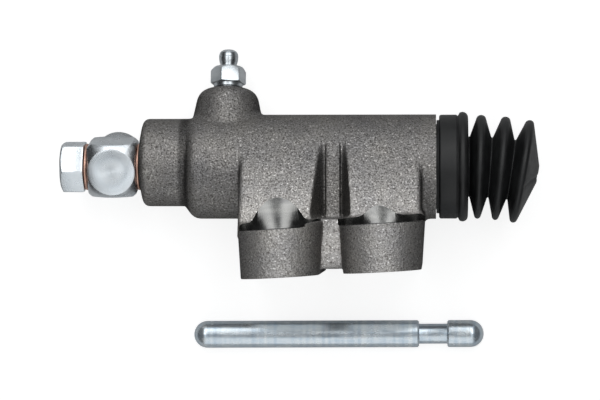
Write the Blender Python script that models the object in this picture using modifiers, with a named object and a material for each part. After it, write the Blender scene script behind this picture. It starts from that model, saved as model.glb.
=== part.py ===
# Clutch slave cylinder, lying on its flat back with its push rod beside it.
# Part frame, in millimetres: X runs along the bore towards the boot, Y towards the bleed screw,
# Z away from the surface that the cylinder lies on. X = 0 is midway between the two bolts and
# Y = Z = 0 is the bore's axis. The last step moves the whole part so that the middle of its
# footprint is the origin.

import math

import bmesh
import bpy
import numpy as np
from mathutils import Matrix, Vector

MM = 0.001
NAME = "clutch_slave_cylinder"

# Clearances
FIT_GAP = 0.3           # round a piece that fits in another
SEAT_GAP = 0.2          # between flat faces that are clamped together

# Edges and overlaps used in several places
MACHINED_EDGE = 0.6     # chamfer on a machined corner
OVERSHOOT = 1.0         # of a cutter past the face that it opens
BACK_TRIM = 2.0         # metal cut away behind the flat back

# Barrel
BODY_RADIUS = 19.0
BODY_RIGHT_X = 36.2
BODY_LEFT_X = -52.2
BODY_EDGE_ROUND = 0.8
SHOULDER_LENGTH = 4.2   # slope from the barrel down to the inlet boss
SHOULDER_CROWN = 1.3    # drop of the slope over its first, flatter part
SHOULDER_CROWN_LENGTH = 1.7
BACK_DEPTH = 20.0       # flat back face, behind the axis
BACK_TOP_Y = -6.0
BACK_CUTTER_REACH = 60.0

# Spigot that carries the boot
SPIGOT_RADIUS = 15.5
SPIGOT_LENGTH = 7.3
BOOT_GROOVE_RADIUS = 14.5
BOOT_GROOVE_START = 2.2
BOOT_GROOVE_WIDTH = 2.6

# Bore
BORE_RADIUS = 11.1
BORE_BOTTOM_X = -45.0
PASSAGE_RADIUS = 2.0
BORE_END_SLOPE = 1.5

# Inlet boss
INLET_RADIUS = 16.0
INLET_RISE = 1.55
INLET_FACE_X = -71.5
INLET_FLAT_RADIUS = 10.4
INLET_FACE_SLOPE = 1.0
INLET_EDGE_ROUND = 1.2
INLET_OVERLAP = 3.0      # run of the boss into the barrel
PORT_RADIUS = 6.3
PORT_DEPTH = 14.2

# Bleeder boss and screw
BLEED_X = -40.2
BLEED_LEAN = 12.0       # degrees back from Y
BLEED_BOSS_TOP = 28.8   # from the bore's axis, along the screw
BLEED_BOSS_FLAT_RADIUS = 6.8
BLEED_BOSS_ROUND = 4.6
BLEED_BOSS_BASE_RADIUS = 13.9
BLEED_BOSS_BASE_HEIGHT = 12.2
BLEED_THREAD_RADIUS = 4.7
BLEED_SEAT_HEIGHT = 13.0
BLEED_SEAT_GAP = 1.0
BLEED_DUCT_RADIUS = 1.5
BLEED_CROSS_RADIUS = 0.9
BLEED_NECK_LENGTH = 2.1
BLEED_HEX_ACROSS_FLATS = 11.4
BLEED_HEX_HEIGHT = 6.4
BLEED_HEX_CHAMFER = 1.1
BLEED_HEX_TURN = 7.0    # degrees, front flat turned towards the boot
NIPPLE_NECK_RADIUS = 3.03
NIPPLE_NECK_LENGTH = 2.5
NIPPLE_RADIUS = 3.55
NIPPLE_LENGTH = 6.7
NIPPLE_TIP_RADIUS = 1.65
NIPPLE_SHOULDER_RADIUS = 2.85
NIPPLE_STEP = 0.8
NIPPLE_HOLE_RADIUS = 1.1

# Lugs, bolts and pads
BOLT_PITCH = 36.6
BOLT_OFFSET = 40.5      # bolt axes in front of the bore's axis
BOLT_HOLE_RADIUS = 5.5
MOUNT_TILT = 3.15       # degrees between the mounting face and the bore
MOUNT_DROP = 38.0       # mounting face below the bore's axis, at X = 0
LUG_THICKNESS = 16.7    # mounting face to spotface
LUG_CAST_HEIGHT = 19.3  # mounting face to the rough top
LUG_TOP_RADIUS = 14.9
LUG_BOTTOM_RADIUS = 13.7
LUG_EDGE_ROUND = 1.0
SPOTFACE_RADIUS = 15.4
SPOTFACE_REACH = 34.0
PAD_OUTER_LEFT = -34.2
PAD_OUTER_RIGHT = 31.0
PAD_INNER = 5.8
PAD_SLOPE_LEFT = 22.0   # degrees from the front towards the bleed screw
PAD_SLOPE_RIGHT = 19.0
PAD_FILLET = 3.5
PAD_SINK = 6.0          # of a pad below the lug's rough top
CAST_OVERLAP = 1.0      # of a fillet's foot with what it stands on
PAD_PROUD = 0.1         # of pads and rib where they leave the barrel
RIB_WIDTH = 5.2
RIB_X = -0.7            # middle of the rib and the web
WEB_WIDTH = 11.0
WEB_FRONT = 40.9
WEB_RISE = 1.7
WEB_ROUND = 3.0

# Pipe union, its bolt and washers
UNION_LENGTH = 17.8
UNION_HEIGHT = 19.8
UNION_DEPTH = 16.0
UNION_TURN = 15.0       # degrees, rear end up
UNION_FACE_RADIUS = 8.65
UNION_CORNER_RADIUS = 11.9
UNION_NECK_RADIUS = 8.9
UNION_NECK_REACH = 18.3
UNION_PORT_RADIUS = 4.6
UNION_PORT_DEPTH = 9.0
UNION_PORT_CONE = 2.8
UNION_CORNER_SLOPE = 0.7 # drop of the rounded corners for each unit outwards
WASHER_RADIUS = 8.5
WASHER_THICKNESS = 1.0
UNION_BOLT_RADIUS = 6.0
UNION_BOLT_LENGTH = 34.0
UNION_BOLT_HEX = 17.0
UNION_BOLT_HEAD = 8.6
UNION_BOLT_CHAMFER = 0.9
UNION_BOLT_TIP = 0.8
UNION_BOLT_TURN = 18.3  # degrees, front flat tilted up
UNION_BOLT_DUCT_RADIUS = 2.5
UNION_BOLT_CROSS_RADIUS = 1.6

# Piston and what it carries
PISTON_LENGTH = 28.0
PISTON_WAIST_RADIUS = 8.2
PISTON_SOCKET_RADIUS = 5.3
PISTON_SOCKET_MOUTH = 6.2
PISTON_SOCKET_DEPTH = 11.3
PISTON_LAND = 4.0
PISTON_SLOPE = 1.0      # where the waist meets a land
PISTON_EDGE = 0.5
CUP_GROOVE_RADIUS = 7.6
CUP_GROOVE_WIDTH = 5.0
CUP_LENGTH = 7.7
CUP_BASE = 3.1
CUP_LIP = 0.8
CUP_EDGE = 0.4
SPRING_SEAT_RADIUS = 7.7
SPRING_SEAT_FLANGE = 1.2
SPRING_SEAT_HUB = 5.1
SPRING_SEAT_HUB_RADIUS = 5.3
SPRING_SEAT_HUB_TAPER = 0.9
SNAP_WIRE_RADIUS = 0.7
SNAP_RING_RADIUS = 11.15
SNAP_RING_GAP = 40.0    # degrees left open
SPRING_WIRE_RADIUS = 0.65
SPRING_LARGE_RADIUS = 9.4
SPRING_SMALL_RADIUS = 6.3
SPRING_TURNS = 8.0
SPRING_END_CROWDING = 0.75

# Boot: its bellows are circles joined by their common tangents
BOOT_WALL = 1.3
BOOT_MOUTH_X = 37.3
COLLAR_RADIUS = 18.9
COLLAR_LENGTH = 6.3
COLLAR_EDGE_ROUND = 0.6
BEAD_X = 45.8
BEAD_PEAK_RADIUS = 19.95
BEAD_ROUND = 1.95
FOLD_PEAK_RADIUS = 18.9
FOLD_ROUND = 1.65
VALLEY_RADIUS = 10.95
VALLEY_ROUND = 0.6
FIRST_VALLEY_X = 48.1
FIRST_FOLD_X = 51.9
FOLD_PITCH = 7.7
FOLD_COUNT = 3
BOOT_TIP_X = 73.3
BOOT_HOLE_RADIUS = 2.4
BOOT_BEND_START = 47.5
BOOT_BEND_LENGTH = 19.8
BOOT_BEND = 10.1        # degrees, end turned down

# Push rod, lying beside the cylinder
ROD_RADIUS = 5.0
ROD_LENGTH = 107.3
ROD_GROOVE_RADIUS = 3.7
ROD_GROOVE_START = 83.4
ROD_GROOVE_WIDTH = 10.5
ROD_EDGE = 0.5
ROD_LEFT_X = -53.5
ROD_DROP = 62.1
ROD_TURN = 0.33         # degrees

# Facets round a full turn
LARGE_STEPS = 48
MEDIUM_STEPS = 36
SMALL_STEPS = 24

# Sizes that follow from those above
SPIGOT_END_X = BODY_RIGHT_X + SPIGOT_LENGTH
LUG_SLOPE = math.tan(math.radians(MOUNT_TILT))
PISTON_RIGHT_X = SPIGOT_END_X - 3.5
PISTON_RADIUS = BORE_RADIUS - FIT_GAP
PISTON_LEFT_X = PISTON_RIGHT_X - PISTON_LENGTH
SNAP_RING_X = PISTON_RIGHT_X + FIT_GAP + SNAP_WIRE_RADIUS
CUP_BACK_X = PISTON_LEFT_X - FIT_GAP
SEAT_FACE_X = CUP_BACK_X - CUP_BASE - FIT_GAP
SEAT_FLANGE_X = SEAT_FACE_X - SPRING_SEAT_FLANGE


def clear_scene():
    for old in list(bpy.data.objects):
        bpy.data.objects.remove(old, do_unlink=True)


def new_collection(name):
    made = bpy.data.collections.new(name)
    bpy.context.scene.collection.children.link(made)
    return made


def new_material(name, colour, roughness, metallic):
    made = bpy.data.materials.new(name)
    made.use_nodes = True
    shader = made.node_tree.nodes["Principled BSDF"]
    shader.inputs["Base Color"].default_value = (*colour, 1.0)
    shader.inputs["Roughness"].default_value = roughness
    shader.inputs["Metallic"].default_value = metallic
    made.diffuse_color = (*colour, 1.0)
    return made


clear_scene()
parts = new_collection(NAME)
helpers = new_collection("helpers")
helpers.hide_render = True
bore_axis = bpy.data.objects.new("bore_axis", None)
parts.objects.link(bore_axis)

iron = new_material("cast_iron", (0.20, 0.19, 0.18), 0.75, 0.55)
zinc = new_material("zinc_plate", (0.62, 0.66, 0.70), 0.28, 1.0)
copper = new_material("copper", (0.80, 0.42, 0.30), 0.35, 1.0)
rubber = new_material("black_rubber", (0.018, 0.019, 0.020), 0.55, 0.0)
alloy = new_material("piston_alloy", (0.70, 0.70, 0.68), 0.35, 1.0)
spring_steel = new_material("spring_steel", (0.35, 0.36, 0.38), 0.30, 1.0)


def add_object(name, mesh, coat=None, location=(0, 0, 0), rotation=(0, 0, 0), parent=bore_axis):
    """A part where it has a material, and a helper that isn't rendered where it has none."""
    made = bpy.data.objects.new(name, mesh)
    made.parent = parent
    made.location = Vector(location) * MM
    made.rotation_euler = [math.radians(angle) for angle in rotation]
    if coat is None:
        helpers.objects.link(made)
        made.hide_render = True
        made.display_type = "WIRE"
    else:
        parts.objects.link(made)
        mesh.materials.append(coat)
    return made


ALONG_BORE = (0, 90, 0)  # turns a shape's own Z to +X
HALF_FLAT = 30.0         # degrees from a hexagon's corner to the middle of its flat


def arc(across, along, radius, start, end, count):
    """Points on a circle in a profile's plane, by angle in degrees from the first coordinate."""
    turns = [math.radians(start + (end - start) * i / count) for i in range(count + 1)]
    return [(across + radius * math.cos(t), along + radius * math.sin(t)) for t in turns]


def turned(name, profile, steps, coat=None, **place):
    """A turned solid: (radius, height) points that run from the top down the outer side."""
    mesh = bpy.data.meshes.new(name)
    edges = [(i, i + 1) for i in range(len(profile) - 1)]
    if profile[0][0] > 0 or profile[-1][0] > 0:
        edges.append((len(profile) - 1, 0))
    mesh.from_pydata([(r * MM, 0, h * MM) for r, h in profile], edges, [])
    made = add_object(name, mesh, coat, **place)
    screw = made.modifiers.new("turn", "SCREW")
    screw.axis = "Z"
    screw.angle = math.tau
    screw.steps = screw.render_steps = steps
    screw.use_merge_vertices = True
    screw.merge_threshold = 0.00001
    screw.use_smooth_shade = True
    return made


def evaluated_mesh(made):
    """The object's mesh with its modifiers applied, in place of the object."""
    bpy.context.view_layer.update()
    shape = made.evaluated_get(bpy.context.evaluated_depsgraph_get())
    mesh = bpy.data.meshes.new_from_object(shape)
    mesh.transform(made.matrix_world)
    bpy.data.objects.remove(made, do_unlink=True)
    return mesh


def turned_mesh(name, profile, steps, rotation):
    pattern = turned(name + "_pattern", profile, steps, rotation=rotation, parent=None)
    mesh = evaluated_mesh(pattern)
    mesh.name = name
    return mesh


def mesh_of_curve(name, curve):
    """The closed mesh of a curve, its caps welded to its sides."""
    guide = bpy.data.objects.new(name + "_guide", curve)
    bpy.context.scene.collection.objects.link(guide)
    mesh = evaluated_mesh(guide)
    shape = bmesh.new()
    shape.from_mesh(mesh)
    bmesh.ops.remove_doubles(shape, verts=shape.verts, dist=1e-6)
    shape.to_mesh(mesh)
    shape.free()
    mesh.name = name
    return mesh


def slab(name, outline, x_from, x_to):
    """A flat (y, z) outline carried along the bore from one X to another."""
    curve = bpy.data.curves.new(name, "CURVE")
    curve.dimensions = "2D"
    curve.fill_mode = "BOTH"
    curve.extrude = (x_to - x_from) / 2 * MM
    line = curve.splines.new("POLY")
    line.points.add(len(outline) - 1)
    line.use_cyclic_u = True
    for point, (y, z) in zip(line.points, outline):
        point.co = (y * MM, z * MM, 0, 1)
    mesh = mesh_of_curve(name, curve)
    return add_object(name, mesh, location=((x_from + x_to) / 2, 0, 0), rotation=(90, 0, 90))


def bar_mesh(name, start, end, start_radius, end_radius, steps):
    """A straight or tapered round bar from one point to another."""
    start, end = Vector(start) * MM, Vector(end) * MM
    way = end - start
    place = Matrix.Translation((start + end) / 2) @ way.to_track_quat("Z", "Y").to_matrix().to_4x4()
    shape = bmesh.new()
    bmesh.ops.create_cone(
        shape, cap_ends=True, segments=steps, radius1=start_radius * MM, radius2=end_radius * MM,
        depth=way.length, matrix=place,
    )
    mesh = bpy.data.meshes.new(name)
    shape.to_mesh(mesh)
    shape.free()
    return mesh


def bar(name, start, end, radius, steps, **place):
    return add_object(name, bar_mesh(name, start, end, radius, radius, steps), **place)


def box(name, low, high, **place):
    shape = bmesh.new()
    bmesh.ops.create_cube(shape, size=1)
    for vertex in shape.verts:
        for i in range(3):
            vertex.co[i] = (low[i] + (vertex.co[i] + 0.5) * (high[i] - low[i])) * MM
    mesh = bpy.data.meshes.new(name)
    shape.to_mesh(mesh)
    shape.free()
    return add_object(name, mesh, **place)


def combine(made, other, operation):
    step = made.modifiers.new(other.name, "BOOLEAN")
    step.operation = operation
    step.solver = "EXACT"
    step.object = other


def hexagon(name, across_flats, low, high, chamfer, turn, coat, **place):
    """A hexagon bar along its own Z, its upper corners chamfered by a cone as a lathe does."""
    corner = across_flats / math.sqrt(3)
    mesh = bar_mesh(name, (0, 0, low), (0, 0, high), corner, corner, 6)
    mesh.transform(Matrix.Rotation(math.radians(turn), 4, "Z"))
    made = add_object(name, mesh, coat, **place)
    wide = corner + 0.1
    ends = [(0, high), (across_flats / 2, high), (wide, high - chamfer), (wide, low), (0, low)]
    cone = turned(name + "_chamfer", ends, SMALL_STEPS, **place)
    combine(made, cone, "INTERSECT")
    return made


# The casting


def barrel():
    groove_top = SPIGOT_END_X - BOOT_GROOVE_START
    groove_low = groove_top - BOOT_GROOVE_WIDTH
    edge = BODY_EDGE_ROUND
    profile = [
        (0, SPIGOT_END_X),
        (SPIGOT_RADIUS - MACHINED_EDGE, SPIGOT_END_X),
        (SPIGOT_RADIUS, SPIGOT_END_X - MACHINED_EDGE),
        (SPIGOT_RADIUS, groove_top),
        (BOOT_GROOVE_RADIUS, groove_top),
        (BOOT_GROOVE_RADIUS, groove_low),
        (SPIGOT_RADIUS, groove_low),
        (SPIGOT_RADIUS, BODY_RIGHT_X),
        *arc(BODY_RADIUS - edge, BODY_RIGHT_X - edge, edge, 90, 0, 3),
        (BODY_RADIUS, BODY_LEFT_X),
        (BODY_RADIUS - SHOULDER_CROWN, BODY_LEFT_X - SHOULDER_CROWN_LENGTH),
        (INLET_RADIUS - INLET_RISE, BODY_LEFT_X - SHOULDER_LENGTH),
        (0, BODY_LEFT_X - SHOULDER_LENGTH),
    ]
    return turned("cylinder_body", profile, LARGE_STEPS, iron, rotation=ALONG_BORE)


def inlet_boss():
    edge = INLET_EDGE_ROUND
    end = BODY_LEFT_X + INLET_OVERLAP
    profile = [
        (0, end),
        (INLET_RADIUS, end),
        *arc(INLET_RADIUS - edge, INLET_FACE_X + INLET_FACE_SLOPE + edge, edge, 0, -70, 3),
        (INLET_FLAT_RADIUS, INLET_FACE_X),
        (0, INLET_FACE_X),
    ]
    return turned("inlet_boss", profile, LARGE_STEPS, location=(0, INLET_RISE, 0), rotation=ALONG_BORE)


ALONG_BLEED = (-90 - BLEED_LEAN, 0, 0)  # turns a shape's own Z to the bleed screw's direction
BLEED_PLACE = (BLEED_X, 0, 0)


def bleed_boss():
    profile = [
        (0, BLEED_BOSS_TOP),
        *arc(BLEED_BOSS_FLAT_RADIUS, BLEED_BOSS_TOP - BLEED_BOSS_ROUND, BLEED_BOSS_ROUND, 90, 15, 4),
        (BLEED_BOSS_BASE_RADIUS, BLEED_BOSS_BASE_HEIGHT),
        (0, BLEED_BOSS_BASE_HEIGHT),
    ]
    return turned("bleed_boss", profile, MEDIUM_STEPS, location=BLEED_PLACE, rotation=ALONG_BLEED)


def lug(name, x):
    """A tapered round lug whose rear half is drawn back past the flat back face."""
    edge = LUG_EDGE_ROUND
    profile = [
        (0, LUG_CAST_HEIGHT),
        *arc(LUG_TOP_RADIUS - edge, LUG_CAST_HEIGHT - edge, edge, 90, 0, 3),
        *arc(LUG_BOTTOM_RADIUS - edge, edge, edge, 0, -90, 3),
        (0, 0),
    ]
    mesh = turned_mesh(name, profile, MEDIUM_STEPS, (-90, 0, 0))
    stretch = BOLT_OFFSET + BACK_DEPTH
    for vertex in mesh.vertices:
        if vertex.co.z < -0.1 * MM:
            vertex.co.z -= stretch * MM
        vertex.co.x += x * MM
        vertex.co.y += LUG_SLOPE * vertex.co.x - MOUNT_DROP * MM
        vertex.co.z += BOLT_OFFSET * MM
    return add_object(name, mesh)


def pad(name, x_from, x_to, lug_x, slope):
    """A slope tangent to the barrel, with a hollow fillet at its foot on the lug's rough top."""
    foot = LUG_CAST_HEIGHT - MOUNT_DROP + LUG_SLOPE * lug_x
    lean = math.radians(slope)
    stand = BODY_RADIUS + PAD_PROUD
    centre_y = foot + PAD_FILLET
    centre_z = (stand + PAD_FILLET - centre_y * math.sin(lean)) / math.cos(lean)
    outline = [
        (stand * math.sin(lean), stand * math.cos(lean)),
        *arc(centre_y, centre_z, PAD_FILLET, 270 - slope, 180, 4),
        (foot - CAST_OVERLAP, centre_z),
        (foot - PAD_SINK, centre_z),
        (foot - PAD_SINK, -BACK_DEPTH - BACK_TRIM),
        (BACK_TOP_Y, -BACK_DEPTH - BACK_TRIM),
        (BACK_TOP_Y, 0),
    ]
    return slab(name, outline, x_from, x_to)


def rib_and_web():
    foot = LUG_CAST_HEIGHT - MOUNT_DROP
    low = WEB_RISE - MOUNT_DROP
    front = BODY_RADIUS + PAD_PROUD
    rib = [
        (0, front),
        *arc(foot + PAD_FILLET, front + PAD_FILLET, PAD_FILLET, 270, 180, 4),
        (foot - CAST_OVERLAP, front + PAD_FILLET),
        (foot - CAST_OVERLAP, 0),
        (0, 0),
    ]
    web = [
        (foot, 0),
        (foot, WEB_FRONT),
        *arc(low + WEB_ROUND, WEB_FRONT - WEB_ROUND, WEB_ROUND, 90, 180, 3),
        (low, -BACK_DEPTH - BACK_TRIM),
        (BACK_TOP_Y, -BACK_DEPTH - BACK_TRIM),
        (BACK_TOP_Y, 0),
    ]
    return [
        slab("rib", rib, RIB_X - RIB_WIDTH / 2, RIB_X + RIB_WIDTH / 2),
        slab("web", web, RIB_X - WEB_WIDTH / 2, RIB_X + WEB_WIDTH / 2),
    ]


def bore_cutter():
    ring_half = SNAP_WIRE_RADIUS + FIT_GAP
    ring_radius = SNAP_RING_RADIUS + SNAP_WIRE_RADIUS + FIT_GAP
    port_end = INLET_FACE_X + PORT_DEPTH
    profile = [
        (0, SPIGOT_END_X + OVERSHOOT),
        (BORE_RADIUS + MACHINED_EDGE, SPIGOT_END_X + OVERSHOOT),
        (BORE_RADIUS + MACHINED_EDGE, SPIGOT_END_X),
        (BORE_RADIUS, SPIGOT_END_X - MACHINED_EDGE),
        (BORE_RADIUS, SNAP_RING_X + ring_half),
        (ring_radius, SNAP_RING_X + ring_half),
        (ring_radius, SNAP_RING_X - ring_half),
        (BORE_RADIUS, SNAP_RING_X - ring_half),
        (BORE_RADIUS, BORE_BOTTOM_X),
        (PASSAGE_RADIUS, BORE_BOTTOM_X - BORE_END_SLOPE),
        (PASSAGE_RADIUS, port_end + BORE_END_SLOPE),
        (PORT_RADIUS, port_end),
        (PORT_RADIUS, INLET_FACE_X + MACHINED_EDGE),
        (PORT_RADIUS + MACHINED_EDGE, INLET_FACE_X),
        (PORT_RADIUS + MACHINED_EDGE, INLET_FACE_X - OVERSHOOT),
        (0, INLET_FACE_X - OVERSHOOT),
    ]
    return turned("bore_cutter", profile, LARGE_STEPS, rotation=ALONG_BORE)


def bleed_cutter():
    hole = BLEED_THREAD_RADIUS + FIT_GAP
    profile = [
        (0, BLEED_BOSS_TOP + OVERSHOOT),
        (hole + MACHINED_EDGE, BLEED_BOSS_TOP + OVERSHOOT),
        (hole + MACHINED_EDGE, BLEED_BOSS_TOP),
        (hole, BLEED_BOSS_TOP - MACHINED_EDGE),
        (hole, BLEED_SEAT_HEIGHT + hole - BLEED_DUCT_RADIUS),
        (BLEED_DUCT_RADIUS, BLEED_SEAT_HEIGHT),
        (BLEED_DUCT_RADIUS, BORE_RADIUS - OVERSHOOT),
        (0, BORE_RADIUS - OVERSHOOT),
    ]
    return turned("bleed_cutter", profile, SMALL_STEPS, location=BLEED_PLACE, rotation=ALONG_BLEED)


def bolt_cutters(side, x):
    """The spotface and the hole of one bolt, both square to the tilted mounting face."""
    tilt = math.radians(MOUNT_TILT)
    up = Vector((-math.sin(tilt), math.cos(tilt), 0))
    on_mount = Vector((x, LUG_SLOPE * x - MOUNT_DROP, BOLT_OFFSET))
    seat = on_mount + up * LUG_THICKNESS
    return [
        bar(side + "_spotface", seat, seat + up * SPOTFACE_REACH, SPOTFACE_RADIUS, LARGE_STEPS),
        bar(side + "_bolt_hole", on_mount - up * OVERSHOOT, seat + up * OVERSHOOT, BOLT_HOLE_RADIUS, SMALL_STEPS),
    ]


def cylinder_body():
    made = barrel()
    left, right = -BOLT_PITCH / 2, BOLT_PITCH / 2
    reach = BACK_CUTTER_REACH
    added = [
        inlet_boss(),
        bleed_boss(),
        lug("left_lug", left),
        lug("right_lug", right),
        pad("left_pad", PAD_OUTER_LEFT, -PAD_INNER, left, PAD_SLOPE_LEFT),
        pad("right_pad", PAD_INNER, PAD_OUTER_RIGHT, right, PAD_SLOPE_RIGHT),
        *rib_and_web(),
    ]
    cut = [
        *bolt_cutters("left", left),
        *bolt_cutters("right", right),
        box("back_cutter", (-reach, -reach, -BACK_DEPTH - reach), (reach, reach, -BACK_DEPTH)),
        bore_cutter(),
        bleed_cutter(),
    ]
    for shape in added:
        combine(made, shape, "UNION")
    for shape in cut:
        combine(made, shape, "DIFFERENCE")


# The pipe union

INNER_WASHER_X = INLET_FACE_X - SEAT_GAP - WASHER_THICKNESS
UNION_RIGHT_X = INNER_WASHER_X - SEAT_GAP
UNION_LEFT_X = UNION_RIGHT_X - UNION_LENGTH
UNION_X = (UNION_LEFT_X + UNION_RIGHT_X) / 2
OUTER_WASHER_X = UNION_LEFT_X - SEAT_GAP - WASHER_THICKNESS
HEAD_X = OUTER_WASHER_X - SEAT_GAP


def washer(name, x):
    profile = [
        (WASHER_RADIUS, x + WASHER_THICKNESS),
        (WASHER_RADIUS, x),
        (PORT_RADIUS, x),
        (PORT_RADIUS, x + WASHER_THICKNESS),
    ]
    turned(name, profile, MEDIUM_STEPS, copper, rotation=ALONG_BORE)


def union_block():
    """A block along X whose front corners a lathe has rounded off, with a round neck behind."""
    place = {"location": (UNION_X, 0, 0), "rotation": (UNION_TURN, 0, 0)}
    half = (UNION_LENGTH / 2, UNION_HEIGHT / 2, UNION_DEPTH / 2)
    made = box("union_block", [-side for side in half], half, coat=zinc, **place)
    drop = (UNION_CORNER_RADIUS - UNION_FACE_RADIUS) * UNION_CORNER_SLOPE
    profile = [
        (0, half[2]),
        (UNION_FACE_RADIUS, half[2]),
        (UNION_CORNER_RADIUS, half[2] - drop),
        (UNION_CORNER_RADIUS, -half[2] + drop),
        (UNION_FACE_RADIUS, -half[2]),
        (0, -half[2]),
    ]
    combine(made, turned("union_corners", profile, LARGE_STEPS, **place), "INTERSECT")
    edge = MACHINED_EDGE
    neck = [
        (0, 0),
        (UNION_NECK_RADIUS, 0),
        *arc(UNION_NECK_RADIUS - edge, edge - UNION_NECK_REACH, edge, 0, -90, 2),
        (0, -UNION_NECK_REACH),
    ]
    combine(made, turned("union_neck", neck, MEDIUM_STEPS, **place), "UNION")
    port_end = UNION_PORT_DEPTH - UNION_NECK_REACH
    port = [
        (0, port_end),
        (UNION_PORT_RADIUS, port_end - UNION_PORT_CONE),
        (UNION_PORT_RADIUS, edge - UNION_NECK_REACH),
        (UNION_PORT_RADIUS + edge, -UNION_NECK_REACH),
        (UNION_PORT_RADIUS + edge, -UNION_NECK_REACH - OVERSHOOT),
        (0, -UNION_NECK_REACH - OVERSHOOT),
    ]
    combine(made, turned("union_port", port, SMALL_STEPS, **place), "DIFFERENCE")
    duct_end = (0, 0, port_end - OVERSHOOT)
    duct = bar("union_duct", (0, 0, 0), duct_end, UNION_BOLT_CROSS_RADIUS, SMALL_STEPS, **place)
    combine(made, duct, "DIFFERENCE")
    reach = UNION_LENGTH / 2 + OVERSHOOT
    eye = bar("union_eye", (-reach, 0, 0), (reach, 0, 0), PORT_RADIUS, MEDIUM_STEPS, **place)
    combine(made, eye, "DIFFERENCE")


def union_bolt():
    """Head away from the cylinder, so its own Z points to -X."""
    place = {"location": (HEAD_X, 0, 0), "rotation": (0, -90, 0)}
    made = hexagon(
        "union_bolt", UNION_BOLT_HEX, 0, UNION_BOLT_HEAD, UNION_BOLT_CHAMFER, UNION_BOLT_TURN,
        zinc, **place,
    )
    tip = -UNION_BOLT_LENGTH
    shank = [
        (0, OVERSHOOT),
        (UNION_BOLT_RADIUS, OVERSHOOT),
        (UNION_BOLT_RADIUS, tip + UNION_BOLT_TIP),
        (UNION_BOLT_RADIUS - UNION_BOLT_TIP, tip),
        (0, tip),
    ]
    combine(made, turned("union_bolt_shank", shank, MEDIUM_STEPS, **place), "UNION")
    cross = UNION_X - HEAD_X
    reach = UNION_BOLT_RADIUS + OVERSHOOT
    open_end = (0, 0, tip - OVERSHOOT)
    ducts = [
        bar(
            "bolt_duct", open_end, (0, 0, UNION_BOLT_CROSS_RADIUS - cross),
            UNION_BOLT_DUCT_RADIUS, SMALL_STEPS, **place,
        ),
        bar(
            "bolt_cross", (0, -reach, -cross), (0, reach, -cross),
            UNION_BOLT_CROSS_RADIUS, SMALL_STEPS, **place,
        ),
    ]
    for duct in ducts:
        combine(made, duct, "DIFFERENCE")


# The bleed screw


def bleed_screw():
    """A hexagon on a threaded shank with a cone seat, drilled from its nipple to a cross hole."""
    place = {"location": BLEED_PLACE, "rotation": ALONG_BLEED}
    hex_low = BLEED_BOSS_TOP + BLEED_NECK_LENGTH
    hex_high = hex_low + BLEED_HEX_HEIGHT
    turn = BLEED_HEX_TURN + HALF_FLAT
    made = hexagon(
        "bleed_screw", BLEED_HEX_ACROSS_FLATS, hex_low, hex_high, BLEED_HEX_CHAMFER, turn, zinc,
        **place,
    )
    neck_top = hex_high + NIPPLE_NECK_LENGTH
    nipple_top = hex_high + NIPPLE_LENGTH
    seat = BLEED_SEAT_HEIGHT + BLEED_SEAT_GAP
    profile = [
        (0, nipple_top),
        (NIPPLE_TIP_RADIUS, nipple_top),
        (NIPPLE_SHOULDER_RADIUS, nipple_top - NIPPLE_STEP),
        (NIPPLE_RADIUS, neck_top + 2 * NIPPLE_STEP),
        (NIPPLE_RADIUS, neck_top + NIPPLE_STEP),
        (NIPPLE_NECK_RADIUS, neck_top),
        (NIPPLE_NECK_RADIUS, hex_low + OVERSHOOT),
        (BLEED_THREAD_RADIUS, hex_low + OVERSHOOT),
        (BLEED_THREAD_RADIUS, seat + BLEED_THREAD_RADIUS - BLEED_DUCT_RADIUS),
        (BLEED_DUCT_RADIUS, seat),
        (0, seat),
    ]
    combine(made, turned("bleed_stem", profile, SMALL_STEPS, **place), "UNION")
    cross = seat + BLEED_THREAD_RADIUS
    reach = BLEED_THREAD_RADIUS + OVERSHOOT
    top = (0, 0, nipple_top + OVERSHOOT)
    duct_low = (0, 0, cross - BLEED_CROSS_RADIUS / 2)
    ducts = [
        bar("bleed_duct", top, duct_low, NIPPLE_HOLE_RADIUS, SMALL_STEPS, **place),
        bar(
            "bleed_cross", (-reach, 0, cross), (reach, 0, cross),
            BLEED_CROSS_RADIUS, SMALL_STEPS, **place,
        ),
    ]
    for duct in ducts:
        combine(made, duct, "DIFFERENCE")


# Piston, seals, spring and snap ring


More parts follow.
